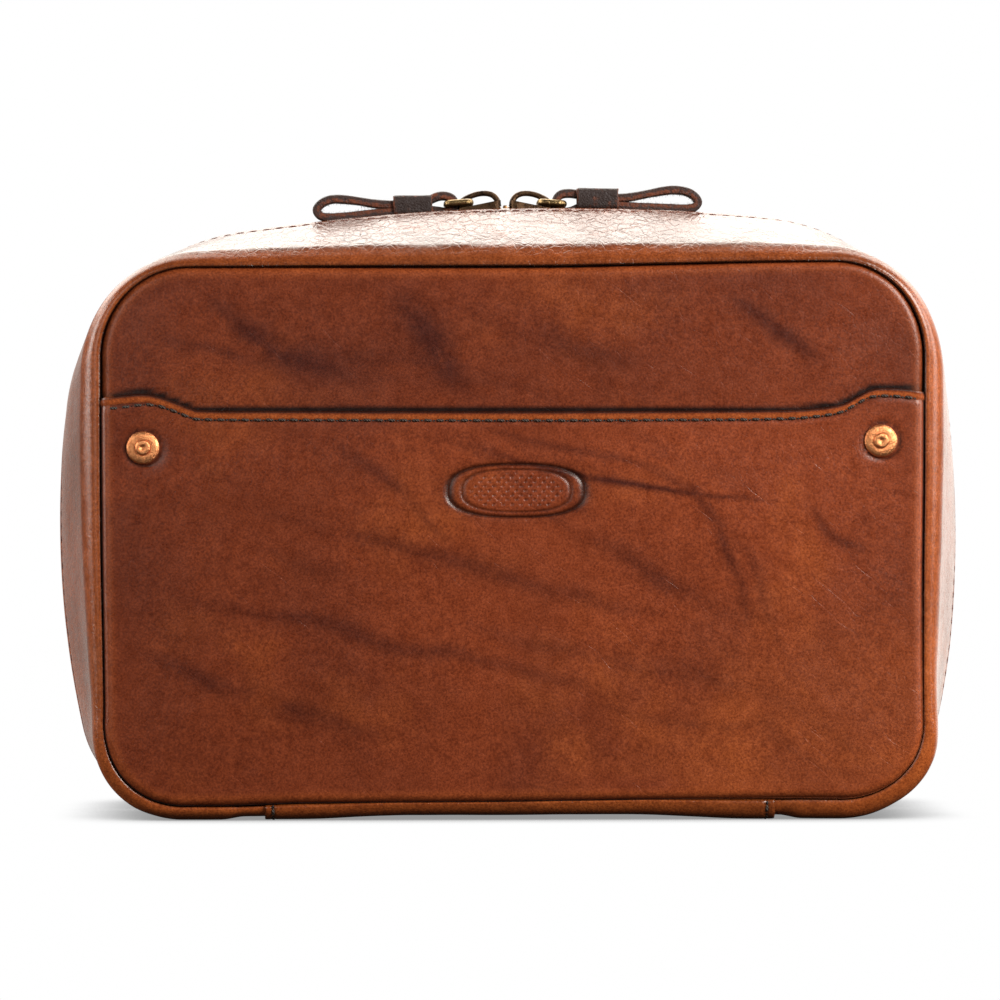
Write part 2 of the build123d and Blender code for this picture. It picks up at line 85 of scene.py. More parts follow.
def rough(points, size, seed=0.0, octaves=2):
    """Smooth noise from about -1 to 1 at each point, with features of the given size in millimetres."""
    flat = np.asarray(points, float).reshape(-1, 3)
    shift = Vector((seed * 17.3, seed * 5.1, seed * 9.7))
    total = np.zeros(len(flat))
    for octave in range(octaves):
        scale = 2**octave / size
        total += [noise.noise(Vector(p) * scale + shift) / 2**octave for p in flat.tolist()]
    return total.reshape(np.asarray(points).shape[:-1])


def to_object(name, vertices, faces, material):
    """A smooth mesh object from vertices in millimetres."""
    mesh = bpy.data.meshes.new(name)
    mesh.from_pydata((np.asarray(vertices, float) * MM).tolist(), [],
                     [tuple(int(i) for i in f) for f in faces])
    mesh.validate()
    mesh.shade_smooth()
    mesh.set_sharp_from_angle(angle=math.radians(50))
    obj = bpy.data.objects.new(name, mesh)
    bpy.context.scene.collection.objects.link(obj)
    mesh.materials.append(material)
    return obj


def grid_faces(rows, cols, first=0, close_cols=False, close_rows=False, flip=False):
    """Quads of a grid of vertices that starts at index first."""
    r = np.arange(rows if close_rows else rows - 1)[:, None]
    c = np.arange(cols if close_cols else cols - 1)[None, :]
    r2, c2 = (r + 1) % rows, (c + 1) % cols
    quads = np.stack([r * cols + c, r * cols + c2, r2 * cols + c2, r2 * cols + c], -1).reshape(-1, 4) + first
    return quads[:, ::-1] if flip else quads


def tube_faces(along, around):
    """Faces of a tube whose vertices are closed loops, one after another, with a cap at each end."""
    faces = grid_faces(along, around, close_cols=True).tolist()
    return faces + [list(range(around))[::-1], list(range((along - 1) * around, along * around))]


def swept(name, loops, material):
    """A closed tube: loops is (along, around, 3), each row a closed loop."""
    faces = tube_faces(*loops.shape[:2])
    return outward(to_object(name, loops.reshape(-1, 3), faces, material))


def shell(name, outer, inner, material):
    """A closed sheet between two grids of the same shape."""
    rows, cols = outer.shape[:2]
    count = rows * cols
    index = np.arange(count).reshape(rows, cols)
    faces = grid_faces(rows, cols).tolist() + grid_faces(rows, cols, count, flip=True).tolist()
    rim = np.concatenate([index[0, :-1], index[:-1, -1], index[-1, :0:-1], index[:0:-1, 0]])
    after = np.roll(rim, -1)
    faces += np.stack([rim, rim + count, after + count, after], -1).tolist()
    vertices = np.concatenate([outer.reshape(-1, 3), inner.reshape(-1, 3)])
    return outward(to_object(name, vertices, faces, material))


def outward(obj):
    """Turns a closed mesh's faces outwards, by the sign of its volume."""
    mesh = obj.data
    co = np.array([v.co for v in mesh.vertices])
    mesh.calc_loop_triangles()
    tri = np.array([t.vertices for t in mesh.loop_triangles])
    volume = np.einsum("ij,ij->i", co[tri[:, 0]], np.cross(co[tri[:, 1]], co[tri[:, 2]])).sum()
    if volume < 0:
        mesh.flip_normals()
    return obj


def merged(name, pieces, material):
    """One object from (vertices, faces) pieces."""
    vertices, faces, total = [], [], 0
    for points, quads in pieces:
        vertices.append(np.asarray(points, float))
        faces += [[i + total for i in face] for face in quads]
        total += len(points)
    return to_object(name, np.concatenate(vertices), faces, material)


def smooth_path(controls, count, closed=False):
    """Points along a Catmull-Rom curve through the controls, evenly spaced."""
    controls = np.asarray(controls, float)
    n = len(controls)
    spans = n if closed else n - 1
    dense = []
    for i in range(spans):
        index = [i - 1, i, i + 1, i + 2]
        a, b, c, d = controls[[k % n if closed else min(max(k, 0), n - 1) for k in index]]
        t = np.linspace(0, 1, 24, endpoint=False)[:, None]
        square = 2 * a - 5 * b + 4 * c - d
        cube = 3 * b - a - 3 * c + d
        dense.append(0.5 * (2 * b + (c - a) * t + square * t**2 + cube * t**3))
    dense = np.concatenate(dense + [controls[:1] if closed else controls[-1:]])
    walked = np.concatenate([[0], np.cumsum(np.linalg.norm(np.diff(dense, axis=0), axis=1))])
    at = np.linspace(0, walked[-1], count, endpoint=not closed)
    return np.stack([np.interp(at, walked, dense[:, k]) for k in range(dense.shape[1])], -1)


def attach(piece, body, slot, *nodes):
    """Puts a piece on its body in place of the CAD nodes it stands for. The slot argument is not used."""
    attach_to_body(piece, body)
    if nodes:
        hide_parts(*nodes)


# ---------------------------------------------------------------- outlines
def mixed(middle, face, depth):
    share = max(depth - ZIP_GAP, 0.0) / (HALF_DEPTH - ZIP_GAP)
    return middle + (face - middle) * share**SLOPE


def circle_cross(a, ra, b, rb):
    """The crossing of two circles that is further to the right and up."""
    d = b - a
    gap = np.hypot(*d)
    along = (gap**2 + ra**2 - rb**2) / (2 * gap)
    up = math.sqrt(max(ra**2 - along**2, 0.0))
    base = a + d * along / gap
    side = np.array([-d[1], d[0]]) / gap * up
    return max(base + side, base - side, key=lambda p: p[0] + 0.2 * p[1])


def arc(centre, radius, start, end, count):
    """Points and normals on an arc from one point to another, with its last point left out."""
    a, b = (math.atan2(*(p - centre)[::-1]) for p in (start, end))
    angles = np.linspace(a, b, count, endpoint=False)
    normals = np.stack([np.cos(angles), np.sin(angles)], -1)
    return centre + radius * normals, normals


def right_half(sizes, start_x, counts):
    """Points and outward normals from the base at start_x, up the right side, to the middle of the top."""
    half_width, height, side_r, top_r, side_z, top_corner, bottom_corner, base_z = sizes
    side_c, top_c = np.array([half_width - side_r, side_z]), np.array([0.0, height - top_r])
    low_z = base_z + bottom_corner
    low_c = np.array([side_c[0] + math.sqrt((side_r - bottom_corner) ** 2 - (low_z - side_z) ** 2), low_z])
    high_c = circle_cross(side_c, side_r - top_corner, top_c, top_r - top_corner)

    def reach(centre, radius, towards):
        way = towards - centre
        return centre + radius * way / np.hypot(*way)

    low_side, high_side = reach(side_c, side_r, low_c), reach(side_c, side_r, high_c)
    high_top = reach(top_c, top_r, high_c)
    line = np.stack([np.linspace(start_x, low_c[0], counts[0], endpoint=False), np.full(counts[0], base_z)],
                    -1)
    parts = [
        (line, np.tile([0.0, -1.0], (counts[0], 1))),
        arc(low_c, bottom_corner, np.array([low_c[0], base_z]), low_side, counts[1]),
        arc(side_c, side_r, low_side, high_side, counts[2]),
        arc(high_c, top_corner, high_side, high_top, counts[3]),
        arc(top_c, top_r, high_top, np.array([0.0, height]), counts[4]),
    ]
    points, normals = (np.concatenate([part[i] for part in parts]) for i in (0, 1))
    return np.vstack([points, [0.0, height]]), np.vstack([normals, [0.0, 1.0]])


def both_halves(sizes, start_x, counts):
    """The whole open outline, from the base on the right, over the top, to the base on the left."""
    points, normals = right_half(sizes, start_x, counts)
    flip = np.array([-1.0, 1.0])
    return np.vstack([points, points[-2::-1] * flip]), np.vstack([normals, normals[-2::-1] * flip])


def bag_sizes(depth):
    return (
        mixed(MID_HALF_WIDTH, FACE_HALF_WIDTH, depth),
        mixed(MID_HEIGHT, FACE_HEIGHT, depth),
        1 / mixed(1 / MID_SIDE_RADIUS, 1 / FACE_SIDE_RADIUS, depth),
        1 / mixed(1 / MID_TOP_RADIUS, 1 / FACE_TOP_RADIUS, depth),
        mixed(MID_SIDE_CENTRE, FACE_SIDE_CENTRE, depth),
        mixed(MID_TOP_CORNER, FACE_TOP_CORNER, depth),
        mixed(MID_BOTTOM_CORNER, FACE_BOTTOM_CORNER, depth),
        0.0,
    )


SEAM_SIZES = (SEAM_HALF_WIDTH, SEAM_TOP, 9000.0, 9000.0, 80.0, SEAM_TOP_CORNER, SEAM_BOTTOM_CORNER,
              SEAM_BOTTOM)


def bag_ring(depth, start_x, counts):
    return both_halves(bag_sizes(depth), start_x, counts)


MID_LIFT = [(-133, -0.7), (-104, -1.1), (-80, -1.4), (-58, -1.2), (-38, -0.8), (-12, -0.2), (14, 0.3),
            (42, 1.3),
            (62, 2.2), (82, 2.9), (100, 3.1), (116, 2.6), (133, 1.6)]
FACE_LIFT = [(-120, 0.5), (-20, 0.4), (14, 0.5), (44, 1.3), (74, 2.2), (100, 2.6), (120, 2.4)]
FACE_LEFT = [(0, 0.0), (12, 0.1), (28, 1.3), (45, 1.15), (61, 0.85), (77, 0.55), (93, 0.4), (125, 0.2),
             (160, 0.0)]
FACE_RIGHT = [(0, 0.3), (15, 0.9), (28, 0.3), (45, 0.1), (69, 0.1), (93, 0.4), (125, 0.6), (137, 0.8),
              (160, 0.7)]
MID_RIGHT = [(0, 0.6), (20, 1.3), (45, 1.3), (75, 0.5), (100, 0.0), (160, 0.0)]
FLOOR_LIFT = [(-118, -0.7), (-76, -0.7), (-66, 0.0), (0, 0.3), (40, 0.9), (80, 1.2), (100, 1.0), (118, 0.3)]


def table(x, pairs):
    """Smoothed reading of a short table."""
    places, values = zip(*pairs)
    return sum(np.interp(x + shift, places, values) for shift in (-6, -2, 2, 6)) / 4


def settle(points):
    """Moves points of the even CAD shape a little, as the real soft bag lies: fuller at its top right."""
    x, y, z = (points[..., i] for i in range(3))
    face = smooth_step(10, 40, np.abs(y))
    top = smooth_step(124, 154, z)
    left, right = smooth_step(-70, -116, x), smooth_step(70, 116, x)
    moved = np.array(points, float)
    moved[..., 2] += top * (table(x, MID_LIFT) * (1 - face) + table(x, FACE_LIFT) * face)
    low = smooth_step(26, 8, z) * smooth_step(0, 4.9, z) * smooth_step(36, 43, np.abs(y))
    moved[..., 2] += low * table(x, FLOOR_LIFT)
    moved[..., 0] += left * face * table(z, FACE_LEFT)
    moved[..., 0] += right * (face * table(z, FACE_RIGHT) + (1 - face) * table(z, MID_RIGHT))
    return moved


# ---------------------------------------------------------------- materials
class Graph:
    """The nodes of a material or world: add() makes a node and links the inputs given as sockets."""

    def __init__(self, name, owners=bpy.data.materials, place="Object"):
        self.material = owners.new(name)
        self.material.use_nodes = True
        self.tree = self.material.node_tree
        self.tree.nodes.clear()
        self.coords = self.add("ShaderNodeTexCoord").outputs[place]

    def add(self, kind, inputs=None, **settings):
        node = self.tree.nodes.new(kind)
        for key, value in settings.items():
            setattr(node, key, value)
        for key, value in (inputs or {}).items():
            if isinstance(value, bpy.types.NodeSocket):
                self.tree.links.new(value, node.inputs[key])
            else:
                node.inputs[key].default_value = value
        return node

    def mapped(self, vector, scale, rotation=(0, 0, 0)):
        turned = self.add("ShaderNodeMapping", {"Vector": vector, "Rotation": rotation})
        return self.add("ShaderNodeMapping", {"Vector": turned.outputs[0], "Scale": scale}).outputs[0]

    def noise(self, vector, scale, detail=4.0, roughness=0.55, distortion=0.0):
        inputs = {"Vector": vector, "Scale": scale, "Detail": detail, "Roughness": roughness,
                  "Distortion": distortion}
        return self.add("ShaderNodeTexNoise", inputs).outputs[0]

    def warped(self, vector, scale, amount):
        inputs = {"Vector": vector, "Scale": scale, "Detail": 3.0}
        cloud = self.add("ShaderNodeTexNoise", inputs).outputs["Color"]
        centred = self.add("ShaderNodeVectorMath", {0: cloud, 1: (0.5, 0.5, 0.5)},
                           operation="SUBTRACT").outputs[0]
        scaled = self.add("ShaderNodeVectorMath", {0: centred, "Scale": amount}, operation="SCALE").outputs[0]
        return self.add("ShaderNodeVectorMath", {0: vector, 1: scaled}, operation="ADD").outputs[0]

    def cells(self, vector, scale, feature="F1"):
        return self.add("ShaderNodeTexVoronoi", {"Vector": vector, "Scale": scale},
                        feature=feature).outputs["Distance"]

    def span(self, value, low, high, to_low=0.0, to_high=1.0):
        inputs = {"Value": value, "From Min": low, "From Max": high, "To Min": to_low, "To Max": to_high}
        return self.add("ShaderNodeMapRange", inputs, interpolation_type="SMOOTHSTEP").outputs[0]

    def math(self, operation, a, b=0.0):
        return self.add("ShaderNodeMath", {0: a, 1: b}, operation=operation, use_clamp=False).outputs[0]

    def mix(self, factor, a, b, blend="MIX"):
        node = self.add("ShaderNodeMix", {0: factor, 6: a, 7: b}, data_type="RGBA", blend_type=blend)
        return node.outputs[2]

    def attribute(self, name):
        return self.add("ShaderNodeAttribute", attribute_name=name, attribute_type="GEOMETRY").outputs["Fac"]

    def bump(self, height, distance, strength=1.0, normal=None):
        inputs = {"Height": height, "Distance": distance, "Strength": strength}
        if normal is not None:
            inputs["Normal"] = normal
        return self.add("ShaderNodeBump", inputs).outputs[0]

    def finish(self, **inputs):
        shader = self.add("ShaderNodeBsdfPrincipled", {key.replace("_", " "): v for key, v in inputs.items()})
        self.add("ShaderNodeOutputMaterial", {"Surface": shader.outputs[0]})
        return self.material


def srgb(red, green, blue):
    """A colour given as 0 to 255 screen values, as linear RGBA."""
    screen = (red / 255, green / 255, blue / 255)
    linear = [c / 12.92 if c <= 0.04045 else ((c + 0.055) / 1.055) ** 2.4 for c in screen]
    return (*linear, 1.0)


def leather(name, base, dark, pale, clouds=0.5, streaks=0.5, pebble=(1100.0, 0.00002), crease=0.3,
            gloss=0.28, seed=0.0, specular=0.42, stretch=1.0):
    """Glossy vegetable-tanned leather: cloudy dye, dark streaks, speckle, pebbles, creases, scratches, with
    painted shade and painted highlights from vertex layers.
    """
    g = Graph(name)
    place = g.add("ShaderNodeVectorMath", {0: g.coords, 1: (seed, seed * 0.7, seed * 1.3)},
                  operation="ADD").outputs[0]
    warp = g.warped(place, 9.0, 0.05)
    cloud = g.span(g.noise(warp, 14.0, 5.0), 0.4, 0.68)
    slant = (0, math.radians(-24), 0)
    streak_place = g.mapped(g.warped(place, 7.0, 0.08), (9.0, 14.0, 56.0), slant)
    streak = g.span(g.noise(streak_place, 1.0, 5.0, 0.6, 0.4), 0.5, 0.78)
    vein_place = g.mapped(g.warped(place, 11.0, 0.04), (5.0, 9.0, 34.0), slant)
    vein = g.math("ABSOLUTE", g.math("SUBTRACT", g.noise(vein_place, 1.0, 1.0, 0.4), 0.5))
    vein = g.math("MULTIPLY", g.span(vein, 0.014, 0.0, 0.0, 0.6),
                  g.span(g.noise(place, 16.0, 2.0), 0.52, 0.7))
    speckle = g.noise(place, 1500.0, 4.0, 0.75)
    mottle = g.noise(place, 260.0, 6.0, 0.7)

    colour = g.mix(g.math("MULTIPLY", cloud, clouds), base, dark)
    colour = g.mix(g.math("MULTIPLY", streak, streaks), colour, dark)
    colour = g.mix(g.math("MULTIPLY", vein, streaks), colour, dark)
    colour = g.mix(g.math("MULTIPLY", g.span(g.noise(place, 22.0, 4.0), 0.5, 0.75), 0.6), colour, pale)
    # The first vertex layer darkens the leather for its streaks and tone, and as painted shade; the second
    # darkens it almost to black for burnished edges, and as painted shade in grooves; the third lightens it
    # for pale leather, and as painted highlight and painted light.
    marked_and_shaded = g.math("MULTIPLY", g.attribute("marks"), g.span(g.noise(place, 70.0, 5.0, 0.7), 0.1, 0.55))
    colour = g.mix(marked_and_shaded, colour, dark)
    colour = g.mix(g.attribute("burnish"), colour, tuple(c * 0.16 for c in dark[:3]) + (1.0,))
    colour = g.mix(g.attribute("glow"), colour, pale)
    grains = g.mix(g.span(speckle, 0.3, 0.7), (0.62, 0.54, 0.52, 1), (1.38, 1.46, 1.44, 1))
    patches = g.mix(g.span(mottle, 0.25, 0.75), (0.84, 0.8, 0.8, 1), (1.16, 1.18, 1.18, 1))
    colour = g.mix(1.0, colour, g.mix(1.0, grains, patches, "MULTIPLY"), "MULTIPLY")

    size, height = pebble
    drawn = g.mapped(place, (1.0, stretch, 1.0))
    dome = g.add("ShaderNodeTexVoronoi", {"Vector": g.warped(drawn, size * 0.6, 0.5 / size), "Scale": size,
                                          "Smoothness": 0.6}, feature="SMOOTH_F1").outputs["Distance"]
    patch = g.math("MULTIPLY", g.span(g.noise(place, 34.0, 3.0), 0.36, 0.62, 0.35, 1.0),
                   g.attribute("crinkle"))
    crackle = g.span(g.cells(g.warped(drawn, 170.0, 0.004), 380.0, "DISTANCE_TO_EDGE"), 0.0, 0.12)
    scratch_place = g.mapped(g.warped(place, 30.0, 0.01), (36.0, 400.0, 700.0), (0, math.radians(-38), 0))
    scratch = g.span(g.noise(scratch_place, 1.0, 2.0), 0.66, 0.74)
    relief = g.bump(g.math("MULTIPLY", g.math("SUBTRACT", 1.0, dome), patch), height, 1.0)
    relief = g.bump(g.math("MULTIPLY", crackle, patch), 0.00006 * crease, 1.0, relief)
    relief = g.bump(g.math("SUBTRACT", speckle, g.math("MULTIPLY", scratch, 0.7)), 0.00005, 0.8, relief)
    wrinkle = g.math("MULTIPLY", g.noise(g.mapped(warp, (1.0, stretch, 1.0)), 110.0, 4.0, 0.6),
                     g.attribute("crinkle"))
    relief = g.bump(wrinkle, 0.0009 * crease, 0.5, relief)
    roughness = g.math("ADD", g.span(mottle, 0.2, 0.8, gloss - 0.04, gloss + 0.08),
                       g.math("MULTIPLY", cloud, 0.04))
    return g.finish(Base_Color=colour, Roughness=roughness, Normal=relief, Specular_IOR_Level=specular,
                    Specular_Tint=(1.0, 0.95, 0.88, 1.0), Coat_Weight=0.04, Coat_Roughness=0.2)


def pull_leather(name, base, fibre):
    """Dark oiled leather with orange fibres showing where it is cut."""
    g = Graph(name)
    grain = g.noise(g.coords, 900.0, 6.0, 0.7)
    raw = g.span(g.noise(g.coords, 420.0, 5.0, 0.7), 0.56, 0.72)
    colour = g.mix(g.math("MULTIPLY", raw, 0.5), base, fibre)
    colour = g.mix(g.math("MULTIPLY", g.attribute("raw"), g.span(grain, 0.3, 0.62)), colour, fibre)
    pores = g.cells(g.coords, 1600.0)
    height = g.math("ADD", grain, g.math("MULTIPLY", pores, 0.5))
    return g.finish(Base_Color=colour, Roughness=g.span(grain, 0.2, 0.8, 0.45, 0.8),
                    Normal=g.bump(height, 0.0003, 0.9))


def metal(name, base, dark, roughness, scale=500.0, worn=0.6):
    """Cast metal with an antique finish: dark in patches, rubbed bright between them."""
    g = Graph(name)
    patina = g.span(g.noise(g.coords, scale, 5.0, 0.65), 0.4, 0.68)
    colour = g.mix(g.math("MULTIPLY", patina, worn), base, dark)
    fine = g.noise(g.coords, scale * 4, 4.0, 0.6)
    return g.finish(Base_Color=colour, Metallic=1.0,
                    Roughness=g.span(fine, 0.2, 0.8, roughness, roughness + 0.22),
                    Normal=g.bump(g.math("ADD", fine, patina), 0.00008, 0.7))


def woven(name, base, dark, pitch, sheen=0.0):
    """A plain weave with threads of the given pitch in metres."""
    g = Graph(name)
    warp = g.add("ShaderNodeTexWave", {"Vector": g.warped(g.coords, 400.0, 0.0004), "Scale": 0.16 / pitch},
                 wave_type="BANDS", bands_direction="X").outputs["Fac"]
    weft = g.add("ShaderNodeTexWave", {"Vector": g.warped(g.coords, 400.0, 0.0004), "Scale": 0.16 / pitch},
                 wave_type="BANDS", bands_direction="Z").outputs["Fac"]
    depth = g.add("ShaderNodeTexWave", {"Vector": g.coords, "Scale": 0.16 / pitch},
                  wave_type="BANDS", bands_direction="Y").outputs["Fac"]
    thread = g.math("MULTIPLY", g.math("ADD", warp, depth), g.math("ADD", weft, 0.35))
    speck = g.noise(g.coords, 900.0, 5.0, 0.7)
    colour = g.mix(g.span(thread, 0.2, 1.6), dark, base)
    colour = g.mix(0.35, colour, g.mix(speck, (0.6, 0.6, 0.6, 1), (1.3, 1.3, 1.3, 1)), "MULTIPLY")
    return g.finish(Base_Color=colour, Roughness=0.88, Normal=g.bump(thread, pitch * 0.4, 0.8),
                    Sheen_Weight=sheen,
                    Sheen_Roughness=0.5)


def thread_material(name, base, dark):
    """Waxed thread: two plies twisted together."""
    g = Graph(name)
    twist = g.add("ShaderNodeTexWave",
                  {"Vector": g.mapped(g.coords, (1, 1, 1), (0, math.radians(40), 0)), "Scale": 520.0},
                  wave_type="BANDS", bands_direction="X").outputs["Fac"]
    colour = g.mix(twist, dark, base)
    return g.finish(Base_Color=colour, Roughness=0.6, Normal=g.bump(twist, 0.0002, 0.8))


PANEL_LEATHER = leather("panel_leather", srgb(141, 63, 32), srgb(76, 29, 18), srgb(174, 86, 40),
                        clouds=0.38, streaks=0.5)
GUSSET_LEATHER = leather("gusset_leather", srgb(142, 66, 29), srgb(78, 38, 18), srgb(182, 92, 40), clouds=0.5,
                         streaks=0.25, pebble=(640.0, 0.00026), crease=2.4, gloss=0.22, seed=0.37,
                         specular=0.6,
                         stretch=0.38)
PULL_LEATHER = pull_leather("pull_leather", srgb(46, 27, 19), srgb(138, 66, 26))
FLESH_LEATHER = pull_leather("raw_leather", srgb(88, 50, 32), srgb(186, 104, 46))
LINING_FABRIC = woven("lining_fabric", srgb(150, 128, 98), srgb(104, 84, 60), 0.0009, 0.2)
TAPE_FABRIC = woven("tape_fabric", srgb(74, 42, 30), srgb(38, 20, 14), 0.0007)
THREAD = thread_material("thread", srgb(84, 66, 54), srgb(34, 24, 18))
EDGE_THREAD = thread_material("edge_thread", srgb(124, 62, 38), srgb(64, 28, 18))
# Near-black dots at the needle holes are painted shade.
HOLE_SHADE = thread_material("needle_hole_shade", srgb(26, 11, 7), srgb(10, 5, 3))
ZIP_METAL = metal("zipper_metal", srgb(150, 112, 76), srgb(70, 44, 30), 0.32)
SLIDER_METAL = metal("slider_metal", srgb(94, 70, 50), srgb(40, 28, 22), 0.3, worn=0.9)
RING_METAL = metal("ring_metal", srgb(158, 130, 88), srgb(84, 64, 40), 0.24, worn=0.6)
COPPER = metal("copper", srgb(255, 172, 112), srgb(206, 104, 58), 0.3, scale=900.0, worn=0.5)


# ---------------------------------------------------------------- camera, light and floor
def put_camera():
    """The photograph's view: level, 1.2 m in front of the bag and a little to its left."""
    distance, aim_height = 1213.0, 92.3
    lens_px_per_mm_at_face = 3.4718
    camera = bpy.data.cameras.new("camera")
    camera.sensor_width = 36.0
    camera.lens = camera.sensor_width * distance * lens_px_per_mm_at_face / 1000
    camera.clip_start, camera.clip_end = 0.05, 60.0
    obj = bpy.data.objects.new("camera", camera)
    bpy.context.scene.collection.objects.link(obj)
    obj.location = Vector((-35.3, -HALF_DEPTH - distance, aim_height)) * MM
    aim = Vector((-3.49, -HALF_DEPTH, aim_height)) * MM
    obj.rotation_euler = (aim - obj.location).to_track_quat("-Z", "Y").to_euler()
    bpy.context.scene.camera = obj


def put_light(name, place, aim, size, power, colour=(1, 1, 1)):
    light = bpy.data.lights.new(name, "AREA")
    light.shape, light.size, light.size_y = "RECTANGLE", *size
    light.energy, light.color = power, colour
    obj = bpy.data.objects.new(name, light)
    bpy.context.scene.collection.objects.link(obj)
    obj.location = Vector(place)
    obj.rotation_euler = (Vector(aim) - obj.location).to_track_quat("-Z", "Y").to_euler()
    obj.visible_camera = False


def put_world():
    """White behind the bag for the camera; for light, a soft bank above and behind and a dim room."""
    g = Graph("studio", bpy.data.worlds, "Generated")
    bpy.context.scene.world = g.material
    x, y, z = g.add("ShaderNodeSeparateXYZ", {0: g.coords}).outputs

    def product(*values):
        total = values[0]
        for value in values[1:]:
            total = g.math("MULTIPLY", total, value)
        return total

    bank = product(g.span(y, 0.05, 0.45), g.span(z, 0.22, 0.47), BANK)
    sideways = g.span(x, -0.5, 0.45, *HORIZON)
    horizon = product(g.span(y, 0.3, 0.85), g.span(z, 0.5, 0.1), g.span(z, -0.3, -0.05), sideways)
    level = g.math("ADD", g.math("ADD", bank, horizon), ROOM)
    camera = g.add("ShaderNodeLightPath").outputs["Is Camera Ray"]
    seen = g.add("ShaderNodeMix", {0: camera, 2: level, 3: 1.0}, data_type="FLOAT").outputs[0]
    tint = g.mix(camera, WARM, (1, 1, 1, 1))
    shader = g.add("ShaderNodeBackground", {"Strength": seen, "Color": tint}).outputs[0]
    g.add("ShaderNodeOutputWorld", {"Surface": shader})


def put_floor():
    """A plain white floor: it lets the white backdrop through, darkened softly where the bag touches it."""
    g = Graph("pale_floor")
    near = g.add("ShaderNodeAmbientOcclusion", {"Distance": 0.022}, samples=12).outputs["AO"]
    paper = g.noise(g.coords, 900.0, 3.0)
    shade = g.math("MULTIPLY", g.span(near, 0.0, 0.9, 0.3, 1.0), g.span(paper, 0.0, 1.0, 0.998, 1.0))
    clear = g.add("ShaderNodeBsdfTransparent", {"Color": shade})
    g.add("ShaderNodeOutputMaterial", {"Surface": clear.outputs[0]})
    side = 1500.0
    corners = [(-side, -side, 0), (side, -side, 0), (side, side, 0), (-side, side, 0)]
    floor = to_object("floor", corners, [(0, 1, 2, 3)], g.material)


def put_surroundings():
    put_world()
    put_floor()
    middle = (0, 0, 0.09)
    put_light("front_key", (0.7, -0.75, 0.55), middle, (0.5, 0.5), 12.5)
    put_light("front_fill", (-0.8, -1.2, 0.5), middle, (0.8, 0.8), 3.6)
    put_light("left_side", (-1.3, -0.1, 0.5), middle, (0.6, 0.8), 10)
    put_light("right_side", (1.3, -0.2, 0.5), middle, (0.6, 0.8), 9)
    scene = bpy.context.scene
    scene.view_settings.view_transform = "Standard"
    scene.view_settings.look = "None"


BANK, HORIZON, ROOM = 4.9, (0.36, 1.85), 0.045
WARM = (1.0, 0.975, 0.915, 1.0)  # the tint of the reflected light
put_camera()
put_surroundings()


# ---------------------------------------------------------------- gussets and base
STITCH_DEPTH = 10.2


def paint(obj, **layers):
    """Stores numbers per vertex that the leather material reads."""
    for name, values in layers.items():
        layer = obj.data.attributes.new(name, "FLOAT", "POINT")
        layer.data.foreach_set("value", np.asarray(values, np.float32).ravel())


def gusset_section():
    """From the zipper edge over the outer face, round the rolled edge into the seam, and back inside.

    Each point is (depth, inset from the outline, share of the way to the seam).
    """
    zip_edge = [(7.35, 1.85, 0), (7.08, 1.5, 0), (7.0, 1.0, 0), (7.08, 0.45, 0), (7.35, 0.12, 0)]
    flat = [(d, 0.0, 0) for d in (8.0, 8.8, 9.4, 9.8, 10.2, 10.6, 11.0, 11.6, 12.4)]
    flat += [(d, 0.0, 0) for d in np.linspace(13.6, 38.6, 20)]
    turn = np.radians(np.linspace(6, 90, 18))
    roll = [(39.4 + 5.8 * math.sin(t), 0.0, 0.84 * (1 - math.cos(t))) for t in turn]
    groove = [(45.05, 0, 0.9), (44.75, 0, 0.96), (44.2, 0, 1.0), (43.4, 0, 1.015), (42.6, 0, 1.0)]
    inside = [(41.8, 0, 0.7), (41.4, 1.6, 0.25), (39.5, LEATHER, 0), (32.0, LEATHER, 0), (24.0, LEATHER, 0),
              (16.0, LEATHER, 0), (10.0, LEATHER, 0)]
    return zip_edge + flat + roll + groove + inside, len(zip_edge), len(zip_edge) + len(flat) + len(roll)


GUSSET_COUNTS = (20, 40, 66, 64, 60)


